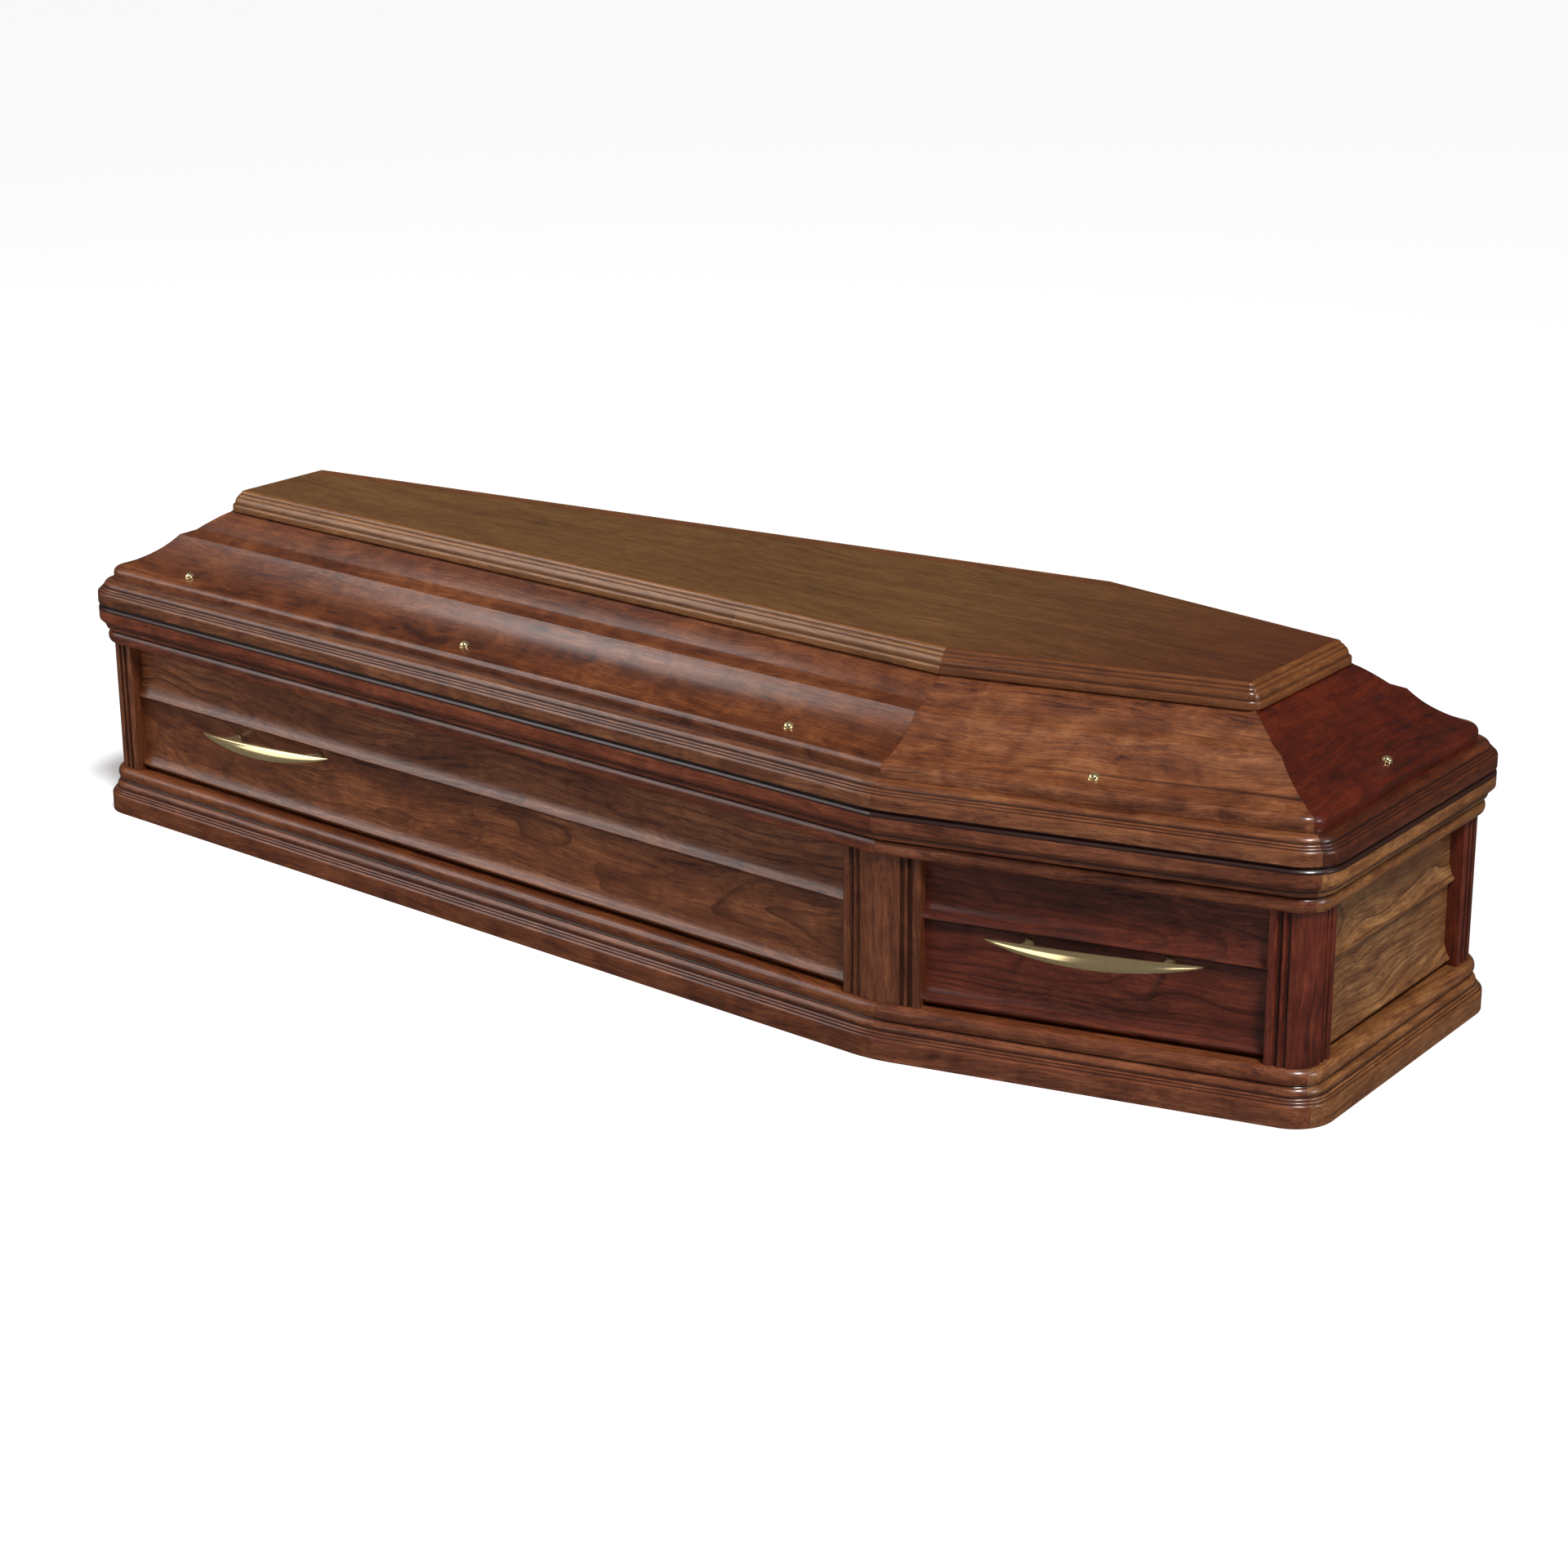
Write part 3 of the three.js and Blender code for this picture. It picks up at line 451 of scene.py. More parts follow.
def set_out(plan, distance):
    """A plan with all its sides moved outwards."""
    return [corner + corner_reach(plan, index) * distance for index, corner in enumerate(plan)]


def mixed(first, second, way):
    """A plan part of the way from one to another, or past it."""
    return [a.lerp(b, way) if 0 <= way <= 1 else a + (b - a) * way for a, b in zip(first, second)]


SHOULDER_X = HALF_LENGTH - SHOULDER_FROM_HEAD
BODY_PLAN = outline(-HALF_LENGTH, SHOULDER_X, HALF_LENGTH, BODY_HALF_WIDTHS)
PLATE_PLAN = outline(
    PLATE_FOOT_INSET - HALF_LENGTH, SHOULDER_X - PLATE_SHOULDER_SHIFT,
    HALF_LENGTH - PLATE_HEAD_INSET, PLATE_HALF_WIDTHS)


def mitres_through(outer, inner):
    """Upright planes through the corners, as a point and a normal towards the next side."""
    planes = []
    for point, deeper in zip(outer, inner):
        inwards = (deeper - point).normalized()
        planes.append((point, Vector((inwards.y, -inwards.x))))
    return planes


def half_corner(plan, index, side, radius, steps):
    """Half of a rounded corner, from the mitre to the straight."""
    reach = corner_reach(plan, index)
    centre = plan[index] - reach * radius
    middle = reach.normalized()
    straight = outward_of(plan, side)
    turn = math.atan2(middle.cross(straight), middle.dot(straight))
    points = []
    for step in range(steps + 1):
        spoke = middle.copy()
        spoke.rotate(Matrix.Rotation(turn * step / steps, 2))
        points.append(centre + spoke * radius)
    return points


def cut_at_mitre(half, far_end, mitre, clear):
    """Moves the end of a course off its mitre, so that neighbours keep their gap."""
    end = half[0]
    following = next((point for point in half if (point - end).length > SPECK), far_end)
    point, normal = mitre
    end_past = (end - point).dot(normal)
    next_past = (following - point).dot(normal)
    cut = end + (following - end) * ((clear - end_past) / (next_past - end_past))
    return [point if (point - end).length > SPECK else cut.copy() for point in half]


def course(plan, radii, side, mitres, soft):
    """One side of a plan from mitre to mitre."""
    start, end = side, after(side)
    bend_steps = SHOULDER_STEPS if soft else 1
    steps = [bend_steps if index in SHOULDERS else CORNER_STEPS for index in (start, end)]
    first = half_corner(plan, start, side, radii[start], steps[0])
    last = half_corner(plan, end, side, radii[end], steps[1])
    begin = cut_at_mitre(first, last[0], mitres[start], GAP / 2)
    finish = cut_at_mitre(last, first[0], mitres[end], -GAP / 2)
    return begin + finish[::-1]


def arc(centre, radii, from_degrees, to_degrees, steps):
    """Points on a round or oval stretch, its ends among them."""
    points = []
    for step in range(steps + 1):
        angle = math.radians(from_degrees + (to_degrees - from_degrees) * step / steps)
        points.append((centre[0] + radii[0] * math.cos(angle), centre[1] + radii[1] * math.sin(angle)))
    return points


def quarter(start, inwards, rise):
    """A convex quarter from upright to level."""
    return arc((start[0] - inwards, start[1]), (inwards, rise), 0, 90, ROUND_STEPS)[1:]


def bezier(start, handle, end, steps):
    """A curve drawn towards one handle, without its start."""
    points = []
    for step in range(1, steps + 1):
        t = step / steps
        pulls = list(zip(((1 - t) ** 2, 2 * t * (1 - t), t * t), (start, handle, end)))
        points.append(tuple(sum(pull * point[axis] for pull, point in pulls) for axis in (0, 1)))
    return points


def members(round_up, reed_up, ovolo_up, bead_up):
    """Section from the face's edge to the wall: round, two reeds, ovolo and half-round bead."""
    points = [(0.0, 0.0)]
    reed = (REED_IN, reed_up)
    for inwards, rise in ((ROUND_IN, round_up), reed, reed, (OVOLO_IN, ovolo_up)):
        points += quarter(points[-1], inwards, rise)
    out, height = points[-1]
    start = -math.degrees(math.acos((BEAD_IN - BEAD_STEP) / BEAD_PROUD))
    points += arc((out - BEAD_IN, height + bead_up / 2), (BEAD_PROUD, bead_up / 2), start, 90, BEAD_STEPS)
    return points


def cleaned(section, arris):
    """A section with its outer corners eased by the arris and its inner corners held by near points."""
    points = [Vector(point) for point in section]
    made = []
    for index, point in enumerate(points):
        back = points[index - 1] - point
        ahead = points[(index + 1) % len(points)] - point
        turn = (-back).angle_signed(ahead, 0.0)
        reach = arris if turn < 0 else SUPPORT_REACH
        if abs(turn) < SHARP_ANGLE or min(back.length, ahead.length) < EDGE_ROOM * reach:
            made.append(point)
        elif turn < 0:
            start, end = point + back.normalized() * reach, point + ahead.normalized() * reach
            made += [start, start.lerp(end, 0.5).lerp(point, ARRIS_FULLNESS), end]
        else:
            made += [point + back.normalized() * reach, point, point + ahead.normalized() * reach]
    return [tuple(point) for point in made]


# Mesh making


def skin(name, rows):
    """A closed mesh through rows of (height, points in plan), each row with as many points."""
    count = len(rows[0][1])
    vertices = [(point.x, point.y, height) for height, points in rows for point in points]
    faces = []
    for row in range(len(rows)):
        above = (row + 1) % len(rows)
        for station in range(count - 1):
            faces.append((row * count + station, row * count + station + 1,
                          above * count + station + 1, above * count + station))
    faces.append(tuple(row * count for row in range(len(rows))))
    faces.append(tuple(row * count + count - 1 for row in reversed(range(len(rows)))))
    return clean_mesh(name, vertices, faces)


def clean_mesh(name, vertices, faces):
    """A mesh with its double points welded and its faces pointing out."""
    mesh = bpy.data.meshes.new(name)
    mesh.from_pydata(vertices, [], faces)
    shape = bmesh.new()
    shape.from_mesh(mesh)
    bmesh.ops.remove_doubles(shape, verts=shape.verts, dist=WELD)
    bmesh.ops.dissolve_degenerate(shape, edges=shape.edges, dist=SPECK)
    bmesh.ops.recalc_face_normals(shape, faces=shape.faces)
    shape.to_mesh(mesh)
    shape.free()
    return mesh


def prism(name, plans, bottom, top):
    """Upright prisms on plan outlines, in one mesh."""
    vertices, faces = [], []
    for plan in plans:
        start, count = len(vertices), len(plan)
        vertices += [(point.x, point.y, height) for height in (bottom, top) for point in plan]
        low, high = range(start, start + count), range(start + count, start + 2 * count)
        faces += [tuple(low)[::-1], tuple(high)]
        faces += [(low[i], low[(i + 1) % count], high[(i + 1) % count], high[i]) for i in range(count)]
    return clean_mesh(name, vertices, faces)


def clipped(plan, point, normal):
    """The part of a convex plan that lies on the normal's side of a line."""
    kept = []
    for first, second in zip(plan, plan[1:] + plan[:1]):
        reach, following = (first - point).dot(normal), (second - point).dot(normal)
        if reach >= 0:
            kept.append(first)
        if reach * following < 0:
            kept.append(first.lerp(second, reach / (reach - following)))
    return kept


def add_grain(mesh, along, outwards, seed):
    """Stores where in the tree each point lies: X is along the grain, and the seed shifts it."""
    third = along.cross(outwards)
    middle = sum((Vector(corner) for corner in mesh_box(mesh)), Vector()) / 2
    terms = zip(HEART_START, HEART_STEP, HEART_RANGE)
    shift = Vector([start + seed * step % reach for start, step, reach in terms])
    values = []
    for vertex in mesh.vertices:
        spot = vertex.co - middle
        values += (Vector((spot.dot(along), spot.dot(outwards), spot.dot(third))) + shift)[:]
    mesh.attributes.new("grain", "FLOAT_VECTOR", "POINT").data.foreach_set("vector", values)


def mesh_box(mesh):
    return [[pick(vertex.co[axis] for vertex in mesh.vertices) for axis in range(3)] for pick in (min, max)]


def add_painted_shade(mesh, strength, bands):
    """Stores painted shade: how deep in an inner corner each point is, and full painted shadow in the bands
    of height.
    """
    shape = bmesh.new()
    shape.from_mesh(mesh)
    values = [0.0] * len(shape.verts)
    for edge in shape.edges:
        if len(edge.link_faces) == 2 and not edge.is_convex:
            depth = min(1.0, max(0.0, edge.calc_face_angle(0.0) - HOLLOW_FROM) / HOLLOW_FULL) * strength
            for vertex in edge.verts:
                values[vertex.index] = max(values[vertex.index], depth)
    spread = list(values)
    for edge in shape.edges:
        if edge.calc_length() < HOLLOW_REACH:
            for vertex, other in (edge.verts, reversed(edge.verts)):
                spread[vertex.index] = max(spread[vertex.index], values[other.index] * HOLLOW_SPREAD)
    for vertex in shape.verts:
        if any(low < vertex.co.z < high for low, high in bands):
            spread[vertex.index] = HOLLOW_STRENGTH
    shape.free()
    mesh.attributes.new("hollow", "FLOAT", "POINT").data.foreach_set("value", spread)


def add_tint(mesh, tint):
    """Stores one tint for the whole mesh, or one for each point."""
    values = tint if len(tint) > 3 else tint * len(mesh.vertices)
    mesh.attributes.new("tint", "FLOAT_VECTOR", "POINT").data.foreach_set("vector", values)


def place_piece(node, mesh, material, slot, along, outwards, seed,
                sharp=SHARP_ANGLE, hollow=HOLLOW_STRENGTH, bands=(LID_JOINT_SHADOW,)):
    """Finishes a mesh and sets it in the place of its solid."""
    add_grain(mesh, along, outwards, seed)
    add_painted_shade(mesh, hollow, bands)
    if "tint" not in mesh.attributes:
        add_tint(mesh, tint_of(node))
    mesh.shade_smooth()
    mesh.set_sharp_from_angle(angle=sharp)
    mesh.materials.append(bpy.data.materials[material])
    piece = bpy.data.objects.new("fine_" + node, mesh)
    bpy.context.scene.collection.objects.link(piece)
    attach(piece, BODY)
    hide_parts(node)


def flat(vector):
    return Vector((vector.x, vector.y, 0.0))


def place_length(node, rows, material, slot, plan, side, seed, **finish):
    """Makes a length of wood whose grain runs along one side of a plan."""
    along, outwards = flat(along_side(plan, side)), flat(outward_of(plan, side))
    place_piece(node, skin(node, rows), material, slot, along, outwards, seed, **finish)


def rounded_from(radius):
    return radius if radius > MM else 0.0


def body_ring(name, section, soft):
    """Six mitred lengths round the body's plan, with soft or sharp bends at the shoulders."""
    section = cleaned(section, bpy.context.scene.coffin_sizes.arris)
    mitres = mitres_through(BODY_PLAN, set_out(BODY_PLAN, -WALL_DEPTH))
    for side, side_name in enumerate(SIDES):
        rows = []
        for out, height in section:
            plan = set_out(BODY_PLAN, out)
            inner = out <= -WALL_DEPTH
            radii = [0.0 if inner else rounded_from(CORNER_RADIUS + out) for _ in CORNERS]
            for shoulder in SHOULDERS:
                radii[shoulder] = SHOULDER_RADIUS + out if soft and not inner else 0.0
            rows.append((height, course(plan, radii, side, mitres, soft)))
        node = f"{name}_{side_name}"
        place_length(node, rows, "frame wood", "frame_wood", BODY_PLAN, side, SEEDS[name] + side)


# Pieces


class COFFIN_OT_materials(bpy.types.Operator):
    """Make the lacquered wood, bare wood and brass materials"""

    bl_idname = "coffin.materials"
    bl_label = "Materials"

    def execute(self, context):
        looks = context.scene.coffin_looks
        body = (tuple(looks.wood_dark), tuple(looks.wood_mid), tuple(looks.wood_light))
        top = (tuple(looks.top_dark), tuple(looks.top_mid), tuple(looks.top_light))
        lacquered_wood("frame wood", *body)
        lacquered_wood("panel wood", *body, figure=0.7, clouds=1.2, lines=0.9, spacing=0.009)
        lacquered_wood("slope wood", *body, figure=1.3, clouds=1.4, lines=0.12)
        lacquered_wood("top wood", *top, figure=0.5, clouds=0.8, lines=0.3, veins=0.4, spacing=0.005)
        bare_wood("bare wood", dark=(0.16, 0.09, 0.045), mid=(0.27, 0.165, 0.085), light=(0.36, 0.24, 0.135))
        polished_brass("brass", tuple(looks.brass))
        return {"FINISHED"}


class COFFIN_OT_plinth(bpy.types.Operator):
    """Make the six lengths of the plinth and the floor board"""

    bl_idname = "coffin.plinth"
    bl_label = "Plinth and floor"

    def execute(self, context):
        outside = members(round_up=4.5 * MM, reed_up=3 * MM, ovolo_up=10.5 * MM, bead_up=21 * MM)
        face = PLINTH_TOP - outside[-1][1]
        section = [(0.0, 0.0)] + [(out, face + rise) for out, rise in outside]
        section += [(-WALL_DEPTH, PLINTH_TOP), (-WALL_DEPTH, 0.0)]
        body_ring("plinth", section, soft=True)
        plan = set_out(BODY_PLAN, -WALL_DEPTH - GAP)
        mesh = prism("floor", [plan], 0.0, FLOOR_TOP)
        place_piece("floor", mesh, "bare wood", "inner_wood", LENGTHWISE, CROSSWISE, SEEDS["floor"])
        return {"FINISHED"}


class COFFIN_OT_rim(bpy.types.Operator):
    """Make the six lengths of the rim"""

    bl_idname = "coffin.rim"
    bl_label = "Rim"

    chamfer = 3 * MM
    shade_edge = 1 * MM

    def execute(self, context):
        outside = members(round_up=4 * MM, reed_up=2.5 * MM, ovolo_up=9.5 * MM, bead_up=20 * MM)
        face_bottom = RIM_BOTTOM + outside[-1][1]
        section = [(out, face_bottom - rise) for out, rise in reversed(outside)]
        # Rows where the painted shadow under the lid starts
        section += [(0.0, RIM_TOP - LID_SHADE - self.shade_edge), (0.0, RIM_TOP - LID_SHADE)]
        section += [(0.0, RIM_TOP - self.chamfer), (-self.chamfer, RIM_TOP)]
        section += [(-WALL_DEPTH, RIM_TOP), (-WALL_DEPTH, RIM_BOTTOM)]
        body_ring("rim", section, soft=False)
        return {"FINISHED"}


class COFFIN_OT_lid_frame(bpy.types.Operator):
    """Make the six lengths of the lid frame"""

    bl_idname = "coffin.lid_frame"
    bl_label = "Lid frame"

    chamfer_in = 3 * MM
    chamfer_top = 3.6 * MM
    face_top = 17.1 * MM
    # Inward step and rise of the round, the two reeds and the ovolo, in millimetres
    mouldings = ((3.5, 4.5), (3, 2.75), (3, 2.75), (8.5, 8))

    def execute(self, context):
        section = [(-self.chamfer_in, FRAME_BOTTOM)]
        section += [(0.0, FRAME_BOTTOM + self.chamfer_top), (0.0, FRAME_BOTTOM + self.face_top)]
        for inwards, rise in self.mouldings:
            section += quarter(section[-1], inwards * MM, rise * MM)
        section += [(-WALL_DEPTH, FRAME_TOP), (-WALL_DEPTH, FRAME_BOTTOM)]
        body_ring("lid_frame", section, soft=True)
        return {"FINISHED"}


class COFFIN_OT_posts(bpy.types.Operator):
    """Make the six reeded corner posts"""

    bl_idname = "coffin.posts"
    bl_label = "Posts"

    plain = 28 * MM
    plain_end = 1.2 * MM
    groove_width = 5.2 * MM
    groove_depth = 3.5 * MM
    groove_flank = 1.3 * MM
    # How a groove leaves the face and meets the next reed: way along, and way down or up
    near_edge = (0.2 * MM, 0.8 * MM)
    far_edge = (0.1 * MM, 0.9 * MM)
    reed_width = 5 * MM
    edge_round = 2.5 * MM
    crown_steps = 5
    round_steps = 12
    # The round stops this far before the plain part ends
    round_margin = 1.6 * MM

    def leg_plan(self):
        """One leg from the plain part outwards, as (along, outwards)."""
        bottom = WALL_FACE - self.groove_depth
        points = [(self.plain - self.plain_end, WALL_FACE)]
        start = self.plain
        for width in (self.reed_width, POST_LEG - self.plain - 2 * self.groove_width - self.reed_width):
            groove_end = start + self.groove_width
            points.append((start + self.near_edge[0], WALL_FACE - self.near_edge[1]))
            points += [(start + self.groove_flank, bottom), (groove_end - self.groove_flank, bottom)]
            points.append((groove_end - self.far_edge[0], bottom + self.far_edge[1]))
            points += self.crown(groove_end, width)
            start = groove_end + width
        return points + [(POST_LEG, -WALL_DEPTH)]

    def crown(self, start, width):
        """The rounded top of a reed or of the outer band."""
        radius = min(self.edge_round, width / 2)
        low = WALL_FACE - radius
        left = arc((start + radius, low), (radius, radius), 180, 90, self.crown_steps)
        right = arc((start + width - radius, low), (radius, radius), 90, 0, self.crown_steps)
        return left + right

    def execute(self, context):
        face = set_out(BODY_PLAN, WALL_FACE)
        inside = set_out(BODY_PLAN, -WALL_DEPTH)
        for index, corner in enumerate(CORNERS):
            radius = 0.0 if index in SHOULDERS else CORNER_RADIUS + WALL_FACE
            plan = [inside[index]]
            for side, heading in ((before(index), -1), (index, 1)):
                steps = 1 if index in SHOULDERS else self.round_steps
                along_leg, outwards = along_side(BODY_PLAN, side) * heading, outward_of(BODY_PLAN, side)
                turned = half_corner(face, index, side, radius, steps)
                straight = (turned[-1] - face[index]).dot(along_leg)
                round_part = [point for point in turned[:-1]
                              if (point - face[index]).dot(along_leg) < self.plain - self.round_margin]
                leg = []
                for along, out in self.leg_plan():
                    short = max(0.0, straight - along)
                    sag = radius - math.sqrt(radius * radius - short * short)
                    leg.append(face[index] + along_leg * along + outwards * (out - WALL_FACE - sag))
                if heading < 0:
                    plan += (round_part + leg)[::-1]
                else:
                    plan += round_part[1:] + leg
            node = "post_" + corner
            mesh = prism(node, [plan], WALL_BOTTOM, WALL_TOP)
            outwards = flat(corner_reach(BODY_PLAN, index).normalized())
            seed = SEEDS["post"] + POST_SEED_STEP * index
            place_piece(node, mesh, "frame wood", "frame_wood", UP, outwards, seed)
        return {"FINISHED"}


class COFFIN_OT_panels(bpy.types.Operator):
    """Make the six wall panels with their two lips"""

    bl_idname = "coffin.panels"
    bl_label = "Wall panels"

    lip = WALL_FACE - 10.3 * MM
    field = WALL_FACE - FIELD_IN
    lip_face = 2 * MM
    lip_sweep = 20 * MM
    # The sweep's handle, as shares of its run and rise
    sweep_handle = (0.72, 0.3)
    sweep_steps = 12
    # Painted shadow under the upper lip and under the rim: its height, and the row that ends it
    shade = 4 * MM
    shade_edge = 1.5 * MM
    lips = (8 * MM, 112 * MM)

    def board(self, lip_height, top):
        """Face of one board from its lip up."""
        level = lip_height + self.lip_face
        points = [(self.lip, lip_height), (self.lip, level)]
        run_share, rise_share = self.sweep_handle
        handle = (self.lip + (self.field - self.lip) * run_share, level + self.lip_sweep * rise_share)
        points += bezier((self.lip, level), handle, (self.field, level + self.lip_sweep), self.sweep_steps)
        return points + [(self.field, top - drop) for drop in (self.shade + self.shade_edge, self.shade, 0)]

    def section(self):
        low, high = (WALL_BOTTOM + lip for lip in self.lips)
        points = [(self.field, WALL_BOTTOM)] + self.board(low, high) + self.board(high, WALL_TOP)
        points += [(-WALL_DEPTH, WALL_TOP), (-WALL_DEPTH, WALL_BOTTOM)]
        return points

    def execute(self, context):
        face = set_out(BODY_PLAN, WALL_FACE)
        section = cleaned(self.section(), context.scene.coffin_sizes.arris)
        lips = [WALL_BOTTOM + lip for lip in self.lips[1:]] + [WALL_TOP]
        # Painted shadow bands just below the upper lip and below the rim
        bands = [(lip - self.shade - BAND_MARGIN, lip - BAND_MARGIN) for lip in lips]
        for side, side_name in enumerate(SIDES):
            along, outwards = along_side(BODY_PLAN, side), outward_of(BODY_PLAN, side)
            ends = [face[side] + along * (POST_LEG + GAP), face[after(side)] - along * (POST_LEG + GAP)]
            rows = []
            for out, height in section:
                rows.append((height, [end + outwards * (out - WALL_FACE) for end in ends]))
            place_length("panel_" + side_name, rows, "panel wood", "panel_wood", BODY_PLAN, side,
                         SEEDS["panel"] + side, bands=bands)
        return {"FINISHED"}


# A slope runs from its foot on the lid frame to its head under the plate
SLOPE_FOOT = set_out(BODY_PLAN, -25 * MM)
SLOPE_HEAD = set_out(PLATE_PLAN, 16 * MM)
NOSE_WAY = 0.066
NOSE_RISE = 10 * MM
NOSE_TOP = 18.8 * MM

# Points of its upper face, as share of the run and rise
COVE_HANDLE = (0.399, 31.5 * MM)
COVE_END = (0.5945, 62.8 * MM)
BAND_END = (0.7275, 69.1 * MM)
CROWN_HANDLE = (0.9, 87.4 * MM)
CROWN_END = (1.0, 93.7 * MM)
NOSE_STEPS, COVE_STEPS, CROWN_STEPS = 8, 20, 12


def slope_face():
    """Upper face of a slope panel as (share of the run, rise): nose, cove, band and crown."""
    nose = arc((NOSE_WAY, NOSE_RISE), (NOSE_WAY, NOSE_TOP - NOSE_RISE), 180, 90, NOSE_STEPS)
    points = [(0.0, 0.0)] + nose
    points += bezier(nose[-1], COVE_HANDLE, COVE_END, COVE_STEPS) + [BAND_END]
    return points + bezier(BAND_END, CROWN_HANDLE, CROWN_END, CROWN_STEPS)


def slope_rise_at(way):
    """Height of the upper face over the slope's bottom, at a share of its run."""
    face = slope_face()[1:]
    above = next(index for index, point in enumerate(face) if point[0] > way)
    low, high = face[above - 1], face[above]
    return low[1] + (high[1] - low[1]) * (way - low[0]) / (high[0] - low[0])


class COFFIN_OT_slopes(bpy.types.Operator):
    """Make the six slope panels of the lid"""

    bl_idname = "coffin.slopes"
    bl_label = "Slope panels"

    # Shares of the run: bottom's start, both ends of the rest under the plate, end of the round hips
    heel_way = 0.12
    rest_way = 1.02
    head_way = 1.16
    hip_round_way = 0.24
    hip_radius = 30 * MM
    head_thickness = 10 * MM

    def execute(self, context):
        rise = SLOPE_TOP - SLOPE_BOTTOM
        section = slope_face() + [(self.rest_way, rise), (self.head_way, rise)]
        section += [(self.head_way, rise - self.head_thickness), (self.heel_way, 0.0)]
        mitres = mitres_through(SLOPE_FOOT, SLOPE_HEAD)
        for side, side_name in enumerate(SIDES):
            rows = []
            for way, height in section:
                radius = rounded_from(self.hip_radius * (1 - way / self.hip_round_way))
                radii = [0.0 if index in SHOULDERS else radius for index in range(len(CORNERS))]
                plan = mixed(SLOPE_FOOT, SLOPE_HEAD, way)
                rows.append((SLOPE_BOTTOM + height, course(plan, radii, side, mitres, False)))
            place_length("slope_" + side_name, rows, "slope wood", "slope_wood", BODY_PLAN, side,
                         SEEDS["slope"] + side)
        return {"FINISHED"}


